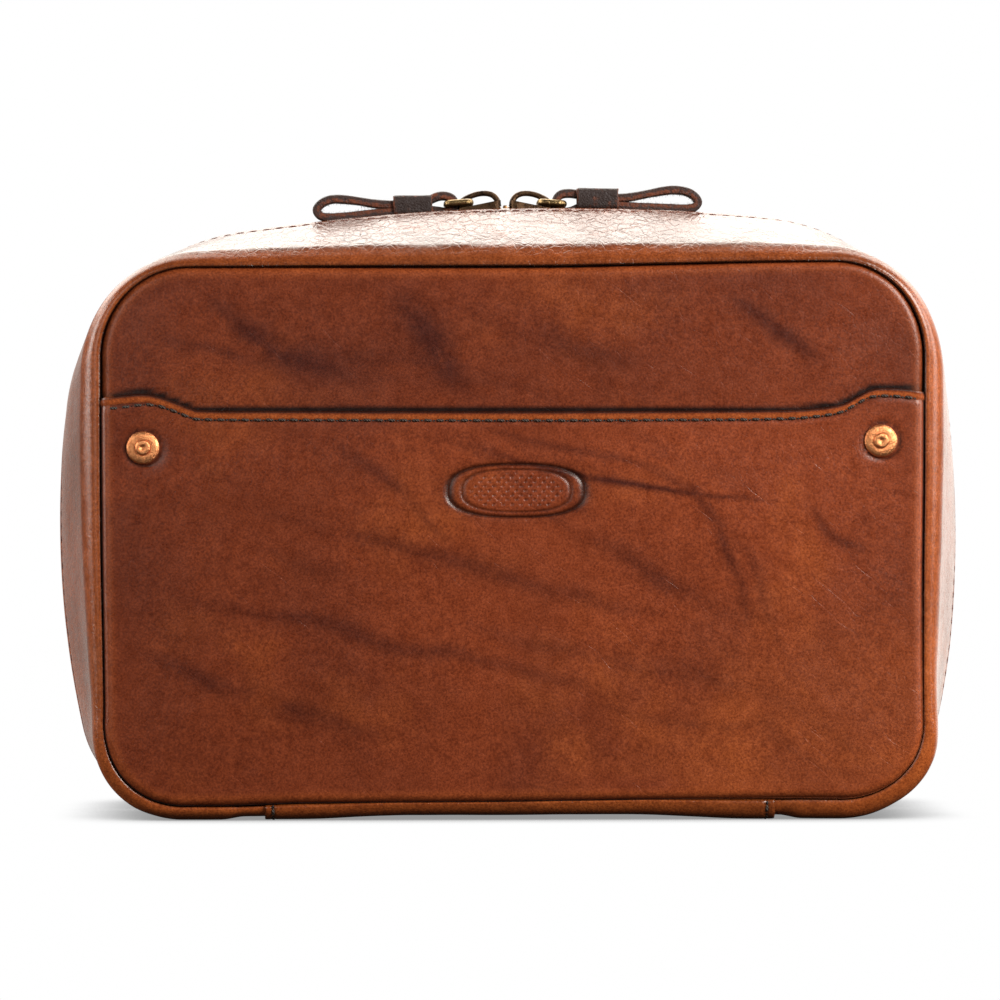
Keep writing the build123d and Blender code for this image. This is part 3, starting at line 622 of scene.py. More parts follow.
def make_gusset(tray):
    section, first_outer, last_outer = gusset_section()
    start = BASE_HALF_LENGTH - 2.6
    seam, _ = both_halves(SEAM_SIZES, start, GUSSET_COUNTS)
    rows = []
    for depth, inset, share in section:
        ring, normal = bag_ring(min(depth, HALF_DEPTH), start, GUSSET_COUNTS)
        under = smooth_step(84, 77, np.abs(ring[:, 0])) * smooth_step(30, 20, ring[:, 1])
        flat = ring - normal * (inset + 0.9 * under * (1 - share))[:, None]
        flat = flat * (1 - share) + seam * share
        back = 0.9 * under * smooth_step(36.0, 44.0, depth)
        rows.append(np.stack([flat[:, 0], TRAYS[tray] * (depth - back), flat[:, 1]], -1))
    loops = np.stack(rows, 1)
    outer = loops[:, first_outer:last_outer]
    _, normal = bag_ring(20.0, start, GUSSET_COUNTS)
    out = np.stack([normal[:, 0], np.zeros(len(normal)), normal[:, 1]], -1)[:, None, :]
    depth = np.abs(outer[..., 1])
    swell = 0.3 * rough(outer, 36.0, 1.0) + 0.1 * rough(outer, 11.0, 2.0)
    channel = -0.3 * np.exp(-(((depth - STITCH_DEPTH) / 0.8) ** 2))
    fade = smooth_step(7.4, 9.5, depth) * smooth_step(45.0, 38.0, depth)
    outer_share = np.array([share for _, _, share in section[first_outer:last_outer]])
    corner = np.exp(-(((outer[..., 0] - 114) / 14) ** 2) - ((outer[..., 2] - 20) / 18) ** 2)
    corner *= 1.8 * smooth_step(8, 30, depth) * (1 - outer_share)
    loops[:, first_outer:last_outer] = outer + out * (swell * fade + channel + corner)[..., None]
    loops[..., 2] = np.maximum(loops[..., 2], 0.0)
    obj = swept(f"{tray}_gusset_leather", settle(loops), GUSSET_LEATHER)
    depths, shares = (np.tile([point[i] for point in section], len(loops)) for i in (0, 2))
    # Painted shade: the seam's groove is darkened almost to black; the zipper edge is darkened too.
    in_seam = smooth_step(0.86, 0.97, shares)
    edge = 0.75 * smooth_step(7.9, 7.2, depths)
    roll = smooth_step(39.5, 43.5, depths) * (1 - in_seam)
    # Painted shade darkens the top of the gusset; the face is also darker towards the roll, and the rolled
    # edge is painted a lighter orange, less of it on the top.
    top = np.repeat(smooth_step(0.5, 0.95, normal[:, 1]), len(section))
    marks = 0.75 * top * (1 - 0.4 * roll) + 0.2 * smooth_step(24, 40, depths) * (1 - roll)
    paint(obj, marks=marks, burnish=np.clip(in_seam + edge, 0, 1), glow=0.45 * roll * (1 - 0.6 * top),
          crinkle=(0.3 + 0.7 * top) * (1 - 0.75 * roll))
    return obj


for tray in TRAYS:
    attach(make_gusset(tray), tray, "gusset_leather", f"{tray}_gusset")


def make_base():
    """The folding base: one strip from the front seam, under the bag, to the back seam, over the gussets."""
    section, _, last_outer = gusset_section()
    outer = [(depth, share) for depth, _, share in section[last_outer - 18:last_outer + 5]]
    half = [(-depth - 0.12, share * SEAM_BOTTOM) for depth, share in reversed(outer)]
    fold = [(y, 0.0) for y in (-34, -30, -26, -22, -18, -14, -10, -7, -5, -4, -3, -2, -1, 0)]
    front = half + fold
    outside = front + [(-y, z) for y, z in reversed(front[:-1])]
    inner_half = [(-42.2, SEAM_BOTTOM), (-41.6, 3.6), (-39.8, 2.4), (-37.0, LEATHER)]
    inner_half += [(y, LEATHER) for y in (-30, -22, -14, -7, -5, -4, -3, -2, -1, 0)]
    inside = inner_half + [(-y, z) for y, z in reversed(inner_half[:-1])]
    loop = np.array(outside + inside[::-1])
    end = BASE_HALF_LENGTH + 0.1
    stations = np.concatenate([[-end, -end + 0.06, -end + 0.25, -end + 0.6],
                               np.linspace(-end + 1.1, -end + 4.5, 12),
                               np.linspace(-end + 6, end - 6, 110), np.linspace(end - 4.5, end - 1.1, 12),
                               [end - 0.6, end - 0.25, end - 0.06, end]])
    middle = np.array([0.0, LEATHER + 6.0])
    loops = []
    for x in stations:
        near_end = end - abs(x)
        pinch = 0.5 * (1 - math.sqrt(1 - (1 - min(near_end, 0.6) / 0.6) ** 2))
        pinch += 0.3 * math.exp(-(((near_end - 2.4) / 0.6) ** 2))
        way = middle - loop
        ring = loop + way / np.linalg.norm(way, axis=1)[:, None] * pinch
        arch = 1.4 * float(smooth_step(66, 30, abs(x)))
        spread = 1 - 0.35 * smooth_step(36, 45, np.abs(ring[:, 0]))
        ring[:, 1] += arch * spread * smooth_step(6.0, 3.0, ring[:, 1])
        loops.append(np.stack([np.full(len(ring), x + BASE_MIDDLE), ring[:, 0], ring[:, 1]], -1))
    loops = np.array(loops)
    from_end = end - np.abs(loops[..., 0] - BASE_MIDDLE)
    loops[..., 2] += 0.15 * rough(loops, 24.0, 5.0) * smooth_step(0, 4, from_end)
    loops = settle(loops)
    loops[..., 2] = np.maximum(loops[..., 2], 0.0)
    obj = swept("base_leather", loops, GUSSET_LEATHER)
    # Painted shade: the seam's groove and the stitch valley near each end are darkened; the cut ends are
    # darkened too. The roll is painted a lighter orange.
    in_seam = np.tile(smooth_step(0.86, 0.97, loop[:, 1] / SEAM_BOTTOM), len(stations))
    from_end = end - np.abs(np.repeat(stations, len(loop)))
    valley = 0.5 * np.exp(-(((from_end - 2.4) / 0.7) ** 2))
    burnish = np.clip(in_seam + smooth_step(0.6, 0.1, from_end) + valley, 0, 1)
    roll = np.tile(smooth_step(39.0, 43.0, np.abs(loop[:, 0])), len(stations))
    paint(obj, marks=np.full(len(burnish), 0.3), burnish=burnish, glow=0.3 * roll,
          crinkle=np.full(len(burnish), 0.25))
    return obj


base = make_base()
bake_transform(base)
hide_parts("front_base", "back_base")


# ---------------------------------------------------------------- panels and pocket
def seam_distance(x, z, inset=0.15):
    """How far inside the seam's outline a point of the panel is."""
    half = SEAM_HALF_WIDTH - inset
    low, high = SEAM_BOTTOM + inset, SEAM_TOP - inset
    middle, reach = (low + high) / 2, (high - low) / 2
    corner = np.where(z > middle, SEAM_TOP_CORNER - inset, SEAM_BOTTOM_CORNER - inset)
    qx, qz = np.abs(x) - half + corner, np.abs(z - middle) - reach + corner
    outside = np.hypot(np.maximum(qx, 0), np.maximum(qz, 0)) + np.minimum(np.maximum(qx, qz), 0)
    return corner - outside


def edge_steps(fine, middle, spacing):
    """Even steps across a length, with finer ones next to both ends."""
    inside = np.linspace(fine[-1], middle - fine[-1], max(int((middle - 2 * fine[-1]) / spacing), 2))
    return np.concatenate([fine[:-1], inside, middle - np.array(fine[:-1])[::-1]])


FINE = (0.0, 0.12, 0.3, 0.55, 0.9, 1.3, 1.8, 2.4, 3.1, 4.0)


def panel_columns(spacing, detail=None):
    """Column places from -1 to 1, closer together at the sides and within detail of the middle."""
    half = SEAM_HALF_WIDTH - 0.15
    steps = edge_steps(FINE, 2 * half, spacing) - half
    if detail:
        reach, close = detail
        steps = steps[np.abs(steps) > reach]
        steps = np.sort(np.concatenate([steps, np.arange(-reach, reach + close / 2, close)]))
    return steps / half


def panel_rows(spacing):
    """Row heights with the half-width of the panel at each, following the round corners."""
    half = SEAM_HALF_WIDTH - 0.15
    low, high = SEAM_BOTTOM + 0.15, SEAM_TOP - 0.15
    bottom, top = SEAM_BOTTOM_CORNER - 0.15, SEAM_TOP_CORNER - 0.15
    turn = np.linspace(0, math.pi / 2, 34)
    rows = [(low + bottom * (1 - math.cos(a)), half - bottom + bottom * math.sin(a)) for a in turn]
    rows += [(z, half) for z in np.arange(low + bottom + spacing, high - top - spacing / 2, spacing)]
    rows += [(high - top * (1 - math.cos(a)), half - top + top * math.sin(a)) for a in turn[::-1]]
    return np.array(rows)


def pillow(distance, reach, depth):
    """How far a sewn-down edge falls back, from nothing at reach to depth at the seam."""
    t = np.clip(1 - distance / reach, 0, 1)
    return depth * (1 - np.sqrt(1 - 0.98 * t**2)) / (1 - math.sqrt(0.02))


def make_panel(name, side, face, spacing):
    """A flat leather panel, sewn down all round. side is -1 for the front."""
    rows = panel_rows(spacing)
    columns = panel_columns(spacing)
    x = columns[None, :] * rows[:, 1:2]
    z = np.repeat(rows[:, :1], len(columns), 1)
    distance = np.maximum(seam_distance(x, z), 0)
    flat = np.stack([x, np.zeros_like(x), z], -1)
    bulge = 0.9 * smooth_step(0, 45, distance)
    waves = 0.32 * rough(flat, 48.0, 7.0 + side) + 0.05 * rough(flat, 9.0, 8.0)
    height = face + bulge + waves * smooth_step(0, 14, distance) - pillow(distance, 2.6, 2.3)
    outer = np.stack([x, side * height, z], -1)
    inner = np.stack([x, np.full_like(x, side * (HALF_DEPTH - LEATHER)), z], -1)
    even = np.concatenate([outer.reshape(-1, 3), inner.reshape(-1, 3)])
    return shell(name, settle(outer), settle(inner), PANEL_LEATHER), even


front_panel, front_places = make_panel("front_panel_leather", -1, HALF_DEPTH - 0.3, 1.3)
back_panel, back_places = make_panel("back_panel_leather", 1, HALF_DEPTH, 1.5)


def strokes(x, z, lines):
    """Soft dark streaks in the leather: each line is (width, strength, points along it)."""
    ink = np.zeros_like(x)
    flat = np.stack([x, np.zeros_like(x), z], -1)
    wobble_x, wobble_z = 2.2 * rough(flat, 22.0, 3.0, 3), 2.2 * rough(flat, 22.0, 4.0, 3)
    px, pz = x + wobble_x, z + wobble_z
    for width, strength, points in lines:
        path = smooth_path(points, 40)
        best = np.full(x.shape, 1e9)
        along = np.zeros_like(x)
        for i, (a, b) in enumerate(zip(path[:-1], path[1:])):
            d = b - a
            t = np.clip(((px - a[0]) * d[0] + (pz - a[1]) * d[1]) / (d @ d), 0, 1)
            gap = np.hypot(px - a[0] - t * d[0], pz - a[1] - t * d[1])
            closer = gap < best
            best = np.where(closer, gap, best)
            along = np.where(closer, (i + t) / (len(path) - 1), along)
        taper = np.sin(np.clip(along, 0.02, 0.98) * math.pi) ** 0.6
        ink = np.maximum(ink, strength * np.exp(-((best / (width * (0.35 + 0.65 * taper))) ** 2)) * taper)
    return ink


PANEL_STREAKS = [
    (4.0, 0.7, [(-88, 149), (-74, 140), (-60, 133), (-44, 124)]),
    (5.5, 0.7, [(-34, 152), (-26, 141), (-18, 130), (-12, 121)]),
    (2.6, 0.6, [(60, 150), (76, 140), (92, 132)]),
    (3.5, 0.4, [(6, 146), (20, 136), (38, 130)]),
    (1.5, 0.5, [(-104, 138), (-84, 136), (-62, 130)]),
]
POCKET_STREAKS = [
    (1.15, 1.0, [(-12, 108), (6, 102.5), (30, 98), (56, 94), (76, 92.5)]),
    (1.9, 0.75, [(36, 103), (52, 95), (60, 84), (65, 70), (68, 54)]),
    (2.3, 0.4, [(56, 90), (68, 78), (74, 62), (80, 46)]),
    (3.4, 0.6, [(20, 84), (30, 78), (42, 70), (58, 62)]),
    (3.0, 0.55, [(-62, 86), (-36, 80), (-8, 72), (20, 64), (48, 58)]),
    (2.6, 0.5, [(-96, 64), (-60, 58), (-30, 50), (0, 44), (30, 36)]),
    (1.7, 0.7, [(84, 92), (92, 82), (104, 75)]),
    (3.0, 0.5, [(-108, 48), (-84, 38), (-60, 30), (-36, 24)]),
    (2.4, 0.35, [(-20, 58), (10, 50), (36, 44), (56, 38)]),
    (2.2, 0.5, [(-54, 110), (-38, 99), (-26, 88), (-16, 77)]),
    (1.2, 0.6, [(-12, 112), (10, 109), (34, 104), (50, 99)]),
    (1.4, 0.35, [(20, 34), (50, 28), (84, 30)]),
]


def paint_panel(obj, p, lines, extra_burnish=None, extra_glow=None, shade=0.0):
    """Paints a panel's leather layers, with painted shade in the seam's groove and a painted highlight along
    the pillowed rim. p is where its vertices are on the even bag, before it settles.
    """
    d = seam_distance(p[:, 0], p[:, 2])
    # Painted shade in the seam's groove.
    burnish = smooth_step(0.5, 0.15, d)
    if extra_burnish is not None:
        burnish = np.maximum(burnish, extra_burnish(p))
    ink = strokes(p[:, 0], p[:, 2], lines) if lines else np.zeros(len(p))
    # Painted highlight along the pillowed rim next to the groove.
    rim = 0.4 * smooth_step(4.5, 1.5, d) * smooth_step(0.4, 0.9, d)
    paint(obj, marks=ink + shade, burnish=burnish, glow=np.maximum(rim, extra_glow(p) if extra_glow else 0.0),
          crinkle=np.ones(len(p)))


POCKET_EDGE = [(-124, 121.2), (-117.8, 121.8), (-107, 122.8), (-102, 122.1), (-97, 120.4), (-92.5, 118.7),
               (-87.5, 118.0),
               (-60, 117.9), (0, 117.8), (50, 118.0), (78, 118.2), (88, 118.8), (95, 120.0), (99.5, 122.4),
               (104, 124.4),
               (111, 124.5), (118.8, 123.6), (124, 123.0)]


def pocket_edge(x):
    """Height of the pocket's top edge."""
    path = smooth_path(POCKET_EDGE, 900)
    return np.interp(x, path[:, 0], path[:, 1])


def pressed_oval(x, z):
    """A plain oval pressed into the pocket: two lines round a field of dots."""
    u, v = (x - 1.2) / 19.5, (z - 95.0) / 7.6
    r = (np.abs(u) ** 2.6 + np.abs(v) ** 2.6) ** (1 / 2.6)
    scale = 7.6
    outer_line = 0.42 * np.exp(-((((r - 1.0) * scale) / 0.42) ** 2))
    inner_line = 0.26 * np.exp(-((((r - 0.8) * scale) / 0.3) ** 2))
    bead = np.cos((x - 1.2) * math.pi / 1.3) * np.cos((z - 95.0) * math.pi / 1.3)
    field = 0.16 * smooth_step(0.72, 0.66, r) * smooth_step(0.25, 0.75, bead)
    halo = 0.12 * np.exp(-((((r - 1.0) * scale) / 1.6) ** 2))
    return outer_line + inner_line + field + halo


def make_pocket():
    columns = panel_columns(1.0, (20.8, 0.26))
    rows = panel_rows(1.0)
    turn_top = SEAM_BOTTOM + SEAM_BOTTOM_CORNER
    lower = rows[rows[:, 0] <= turn_top]
    half = SEAM_HALF_WIDTH - 0.15
    from_edge = np.array([0.0, 0.08, 0.2, 0.38, 0.62, 0.95, 1.35, 1.8, 2.2, 2.6, 3.0, 3.5, 4.2, 5.0])
    span = 118.0 - turn_top
    coarse = np.arange(0, span - 5.0, 1.0)
    stamp_low, stamp_high = 86.0 - turn_top, 104.0 - turn_top
    coarse = coarse[(coarse < stamp_low) | (coarse > stamp_high)]
    heights = np.sort(np.concatenate([coarse, np.arange(stamp_low, stamp_high, 0.28)]))[1:]
    x_low = columns[None, :] * lower[:, 1:2]
    z_low = np.repeat(lower[:, :1], len(columns), 1)
    x_line = columns * half
    edge = pocket_edge(x_line)
    rise = edge - 118.0
    share = smooth_step(95.0 - turn_top, span, heights)[:, None]
    z_mid = turn_top + heights[:, None] + rise[None, :] * share
    z_top = edge[None, :] - from_edge[::-1][:, None]
    keep = heights < span - 6.0
    z_mid = z_mid[keep]
    x = np.concatenate([x_low, np.repeat(x_line[None, :], len(z_mid) + len(z_top), 0)])
    z = np.concatenate([z_low, z_mid, z_top])
    distance = np.maximum(seam_distance(x, z), 0)
    below = np.maximum(pocket_edge(x) - z, 0)
    flat = np.stack([x, np.zeros_like(x), z], -1)
    inner_area = smooth_step(0, 40, distance) * smooth_step(0, 30, below)
    waves = 0.34 * rough(flat, 44.0, 11.0) + 0.06 * rough(flat, 10.0, 12.0)
    height = POCKET_FACE + 0.9 * inner_area + waves * smooth_step(0, 14, distance) * smooth_step(0, 12, below)
    height -= pillow(distance, 2.6, 2.6)
    t = np.clip(1 - below / 0.55, 0, 1)
    height -= 0.55 * (1 - np.sqrt(1 - 0.98 * t**2))
    height -= 0.32 * np.exp(-(((below - STITCH_BELOW) / 0.75) ** 2))
    height -= 0.1 * np.exp(-(((below - 1.35) / 0.25) ** 2))
    height -= pressed_oval(x, z)
    for rx, rz in RIVETS.values():
        r = np.hypot(x - rx, z - rz)
        height += (POCKET_FACE - height) * smooth_step(9.0, 4.6, r)
        height -= 0.35 * np.exp(-(((r - 5.3) / 0.7) ** 2))
    wall = [(0.02, 0.8), (0.03, 1.05), (0.0, 1.35)]
    x = np.concatenate([x] + [x[-1:]] * len(wall))
    z = np.concatenate([z] + [z[-1:] + lift for lift, _ in wall])
    height = np.concatenate([height] + [np.full_like(height[-1:], POCKET_FACE) - fall for _, fall in wall])
    outer = np.stack([x, -height, z], -1)
    inner = np.stack([x, np.full_like(x, -POCKET_BACK), z], -1)
    even = np.concatenate([outer.reshape(-1, 3), inner.reshape(-1, 3)])
    return shell("front_pocket_leather", settle(outer), settle(inner), PANEL_LEATHER), even


STITCH_BELOW = 2.6
front_pocket, pocket_places = make_pocket()


# A burnished dark rim along the pocket's top edge; painted shade in the stitch channel; darker rings round
# the rivets and a darker pressed oval.
def pocket_burnish(p):
    below = pocket_edge(p[:, 0]) - p[:, 2]
    around = [np.hypot(p[:, 0] - rx, p[:, 2] - rz) for rx, rz in RIVETS.values()]
    ring = np.exp(-(((np.minimum(*around) - 5.2) / 0.55) ** 2)) * 0.75
    stamped = np.clip(pressed_oval(p[:, 0], p[:, 2]) * 1.9, 0, 0.85) * (p[:, 1] < -POCKET_BACK - 0.5)
    channel = 0.45 * np.exp(-(((below - STITCH_BELOW) / 0.6) ** 2))
    return np.maximum.reduce([0.9 * smooth_step(0.8, 0.45, below), ring, stamped, channel])


def pocket_glow(p):
    """The pocket's pared edge, between its rim and its stitches, is a brighter orange; towards the lower
    right the pocket is lightened as painted light.
    """
    below = pocket_edge(p[:, 0]) - p[:, 2]
    painted_light_lower_right = 0.3 * smooth_step(30, 95, p[:, 0]) * smooth_step(75, 35, p[:, 2])
    return np.maximum(painted_light_lower_right, 0.9 * smooth_step(0.8, 1.1, below) * smooth_step(2.6, 2.0, below))


# Painted shadow: a dark line on the front panel just above the pocket's top edge. The front panel's shade
# value is a darker tone of its leather.
paint_panel(front_panel, front_places, PANEL_STREAKS,
            lambda p: smooth_step(1.9, 0.9, np.abs(p[:, 2] - pocket_edge(p[:, 0]))), shade=0.34)
paint_panel(back_panel, back_places, POCKET_STREAKS)
# For the pocket, shade is painted shade, darker towards the left.
paint_panel(front_pocket, pocket_places, POCKET_STREAKS, pocket_burnish, pocket_glow,
            shade=0.42 * smooth_step(30, -105, pocket_places[:, 0]))
for piece, body, node in ((front_panel, "front", "front_panel"), (front_pocket, "front", "front_pocket"),
                          (back_panel, "back", "back_panel")):
    attach(piece, body, "panel_leather", node)


# ---------------------------------------------------------------- stitching
def capsule(centre, along, out, length, radius, sides=8, rings=7):
    """A stitch: a short rounded thread from hole to hole, its ends pulled down into the leather."""
    along, out = np.asarray(along, float), np.asarray(out, float)
    along /= np.linalg.norm(along)
    out = out - along * (out @ along)
    out /= np.linalg.norm(out)
    across = np.cross(along, out)
    t = np.linspace(-1, 1, rings)
    angle = np.linspace(0, 2 * math.pi, sides, endpoint=False)
    points = []
    for s in t:
        size = radius * math.sqrt(max(1 - abs(s) ** 5, 0.06))
        middle = np.asarray(centre) + along * s * length / 2 - out * radius * 1.1 * abs(s) ** 3
        points += [middle + size * (math.cos(a) * across + math.sin(a) * out) for a in angle]
    return points, tube_faces(rings, sides)


def stitch_line(name, path, outs, pitch, length, radius, body, slant=0.0, thread=None):
    """Stitches along a path of points, with the outward direction at each, and a near-black dot of painted
    shade at each needle hole.
    """
    path, outs = np.asarray(path, float), np.asarray(outs, float)
    walked = np.concatenate([[0], np.cumsum(np.linalg.norm(np.diff(path, axis=0), axis=1))])
    count = int(walked[-1] / pitch)
    start = (walked[-1] - count * pitch) / 2 + pitch / 2
    threads, hole_shades = [], []
    for k in range(count):
        at = start + k * pitch
        point, ahead, out = (np.array([np.interp(d, walked, a[:, i]) for i in range(3)])
                             for d, a in ((at, path), (at + 0.5, path), (at, outs)))
        along = ahead - point
        along /= np.linalg.norm(along)
        out /= np.linalg.norm(out)
        across = np.cross(along, out)
        jitter = random.Random(f"{name}{k}")
        tilt = math.radians(slant + jitter.uniform(-3, 3))
        turned = along * math.cos(tilt) + across * math.sin(tilt)
        threads.append(capsule(point + out * radius * 0.2, turned, out, length, radius))
        # Painted shade: a near-black dot sunk at the needle hole.
        hole = point + turned * pitch / 2 - out * 0.24
        hole_shades.append(capsule(hole, along, out, 1.1, 0.34, 6, 5))
    line = merged(f"{name}_thread", threads, thread or THREAD)
    dots = merged(f"{name}_holes", hole_shades, HOLE_SHADE)
    for piece in (line, dots):
        attach(piece, body, "pull_leather")


def pocket_stitches():
    x = np.linspace(-SEAM_HALF_WIDTH + 1.6, SEAM_HALF_WIDTH - 1.6, 300)
    below = STITCH_BELOW - 0.35 * smooth_step(60, 100, x) + 0.9 * smooth_step(-98, -112, x)
    points = np.stack([x, np.full_like(x, -POCKET_FACE + 0.12), pocket_edge(x) - below], -1)
    stitch_line("pocket", points, np.tile([0.0, -1.0, 0.0], (len(x), 1)), 3.5, 2.5, 0.42, "front", slant=4)


def gusset_stitches(tray):
    start = BASE_HALF_LENGTH + 4
    ring, normal = bag_ring(STITCH_DEPTH, start, (20, 40, 60, 60, 60))
    y = np.full(len(ring), TRAYS[tray] * STITCH_DEPTH)
    points = settle(np.stack([ring[:, 0], y, ring[:, 1]], -1))
    outs = np.stack([normal[:, 0], np.full(len(normal), TRAYS[tray] * 0.3), normal[:, 1]], -1)
    unit = outs / np.linalg.norm(outs, axis=1)[:, None]
    stitch_line(f"{tray}_zipper_edge", points - unit * 0.3, outs, 3.9, 2.9, 0.3, tray, thread=EDGE_THREAD)


pocket_stitches()
for tray in TRAYS:
    gusset_stitches(tray)


def base_stitches(tray, side):
    """Across the end of the base, where it laps over the gusset, and a little way up the roll."""
    x = side * (BASE_HALF_LENGTH - 2.3) + BASE_MIDDLE
    section, _, last_outer = gusset_section()
    outer = [(d, s * SEAM_BOTTOM + 0.2) for d, _, s in section[last_outer - 18:last_outer]]
    path = [(x, TRAYS[tray] * d, 0.25) for d in (5.0, 12.0, 20.0, 28.0, 36.0)]
    path = settle(smooth_path(path + [(x, TRAYS[tray] * d, z) for d, z in outer], 80))
    outs = []
    for p in path:
        turn = float(smooth_step(38.0, 45.0, abs(p[1])))
        outs.append((0.0, TRAYS[tray] * turn, -1 + 0.9 * turn))
    stitch_line(f"{tray}_base_{'right' if side > 0 else 'left'}", path, outs, 3.5, 2.5, 0.42, tray)


for tray in TRAYS:
    for side in (-1, 1):
        base_stitches(tray, side)


# ---------------------------------------------------------------- rivets
def lathe(name, profile, centre, material, sides=48, seed=0.0):
    """A turned piece round an axis along Y.

    profile is (radius, height above the pocket's face) from the middle out.
    """
    angle = np.linspace(0, 2 * math.pi, sides, endpoint=False)
    loops = []
    for radius, height in profile:
        x = centre[0] + radius * np.cos(angle)
        z = centre[1] + radius * np.sin(angle)
        loops.append(np.stack([x, np.full(sides, -POCKET_FACE - height), z], -1))
    loops = np.array(loops)
    loops[..., 1] -= 0.05 * rough(loops, 1.6, seed) * smooth_step(0.05, 0.3,
                                                                  np.array([h for _, h in profile]))[:, None]
    return swept(name, loops, material)


for side, place in RIVETS.items():
    burr = lathe(f"rivet_burr_{side}",
                 [(1.7, 0.0), (1.7, 0.62), (1.9, 0.78), (2.4, 0.86), (3.2, 0.84), (3.9, 0.72),
                                        (4.4, 0.5), (4.68, 0.22), (4.75, 0.0)], place, COPPER,
                                        seed=31.0 + len(side))
    pin = lathe(f"rivet_pin_{side}",
                [(0.02, -4.4), (1.55, -4.4), (1.55, 0.9), (2.0, 0.95), (2.2, 1.15), (2.12, 1.4),
                                      (1.7, 1.6), (1.2, 1.62), (0.8, 1.5), (0.5, 1.28), (0.02, 1.22)],
                                      place, COPPER,
                seed=37.0 + len(side))
    for piece, node in ((burr, f"burr_{side}"), (pin, f"rivet_{side}")):
        attach(piece, "front", "rivet_copper", node)

# ---------------------------------------------------------------- zipper
ZIP_COUNTS = (24, 24, 60, 60, 60)
CHAIN_RADIUS, CHAIN_CENTRE = MID_TOP_RADIUS - CHAIN_INSET, MID_HEIGHT - MID_TOP_RADIUS


def slider_offset(x, z):
    """How far a place on top of the chain is outwards of its slider; far away on the sides and below."""
    at = np.where(x < 0, SLIDER_AT["left"], SLIDER_AT["right"])
    return np.where(z < MID_HEIGHT / 2, 99.0, np.abs(x) - at)


def row_shift(x, z):
    start, full = SPREAD_LENGTH
    return SPREAD * np.clip((start - slider_offset(x, z)) / (start - full), 0, 1)


def row_lift(x, z):
    rise = (UPPER_MOUTH - UPPER_TAIL) / (SLIDER_TAIL - SLIDER_MOUTH)
    return rise * np.clip(SLIDER_TAIL - slider_offset(x, z), 0, SLIDER_TAIL - SLIDER_MOUTH)


def make_tape(tray):
    places = [2.75, 2.8, 3.1, 3.6, 4.4, 5.4, 6.4, 7.4, 8.6, 10.0, 11.6, 13.2, 14.6, 15.7]
    section = [(y, 2.14) for y in places] + [(y, 2.86) for y in places[::-1]]
    rows = []
    for depth, inset in section:
        ring, normal = bag_ring(depth, 62.0, ZIP_COUNTS)
        line = ring - normal * inset
        parted = row_shift(ring[:, 0], ring[:, 1]) + 0.3 * (row_shift(ring[:, 0], ring[:, 1]) > 0.5)
        y = np.maximum(depth, 2.75 + parted + 0.05 * (depth - 2.75))
        rows.append(np.stack([line[:, 0], TRAYS[tray] * y, line[:, 1]], -1))
    return swept(f"{tray}_tape_cloth", settle(np.stack(rows, 1)), TAPE_FABRIC)


# Each ring of a tooth from its root to its tip is (across, half along, half thick).
TOOTH_LOOPS = [
    (2.7, 0.55, 1.0), (2.62, 0.66, 1.25), (1.9, 0.66, 1.3), (1.2, 0.56, 1.15), (0.7, 0.46, 1.0),
    (0.25, 0.56, 1.12),
    (-0.35, 0.64, 1.2), (-0.75, 0.52, 1.0), (-0.9, 0.28, 0.6)]


def one_tooth(direction):
    """A cast tooth in its own frame: along the chain, across it, and outwards."""
    angle = np.linspace(0, 2 * math.pi, 12, endpoint=False)
    rounded = [np.sign(f(angle)) * np.abs(f(angle)) ** 0.55 for f in (np.cos, np.sin)]
    loops = [np.stack([a * rounded[0], np.full(12, direction * across), t * rounded[1]], -1)
             for across, a, t in TOOTH_LOOPS]
    points = np.concatenate(loops)
    faces = tube_faces(len(loops), 12)
    if direction > 0:
        faces = [face[::-1] for face in faces]
    return points, faces


def make_teeth(tray, first):
    ring, normal = bag_ring(0.0, TEETH_END, (60, 120, 400, 300, 500))
    line = ring - normal * CHAIN_INSET
    walked = np.concatenate([[0], np.cumsum(np.hypot(*np.diff(line, axis=0).T))])
    places = np.arange(first, int(walked[-1] / (TOOTH_PITCH / 2)), 2) * TOOTH_PITCH / 2
    x, z = (np.interp(places, walked, line[:, i]) for i in (0, 1))
    out = np.stack([np.interp(places, walked, normal[:, i]) for i in (0, 1)], -1)
    tooth, faces = one_tooth(TRAYS[tray])
    pieces = []
    shift, lift = row_shift(x, z), row_lift(x, z)
    middles = settle(np.stack([x, np.full_like(x, TRAYS[tray] * 0.9), z], -1))
    for k, middle in enumerate(middles):
        outwards = np.array([out[k, 0], 0.0, out[k, 1]])
        along = np.array([out[k, 1], 0.0, -out[k, 0]])
        at = middle - (0, middle[1], 0) + np.array([0, TRAYS[tray] * shift[k], lift[k]])
        placed = at + tooth[:, :1] * along + tooth[:, 1:2] * np.array([0, 1.0, 0]) + tooth[:, 2:] * outwards
        pieces.append((placed, faces))
    return merged(f"{tray}_teeth_cast", pieces, ZIP_METAL)


for tray, first in (("front", 0), ("back", 1)):
    tape, teeth = make_tape(tray), make_teeth(tray, first)
    attach(tape, tray, "zipper_tape", f"{tray}_zipper_tape")
    attach(teeth, tray, "zipper_metal", f"{tray}_zipper_teeth")


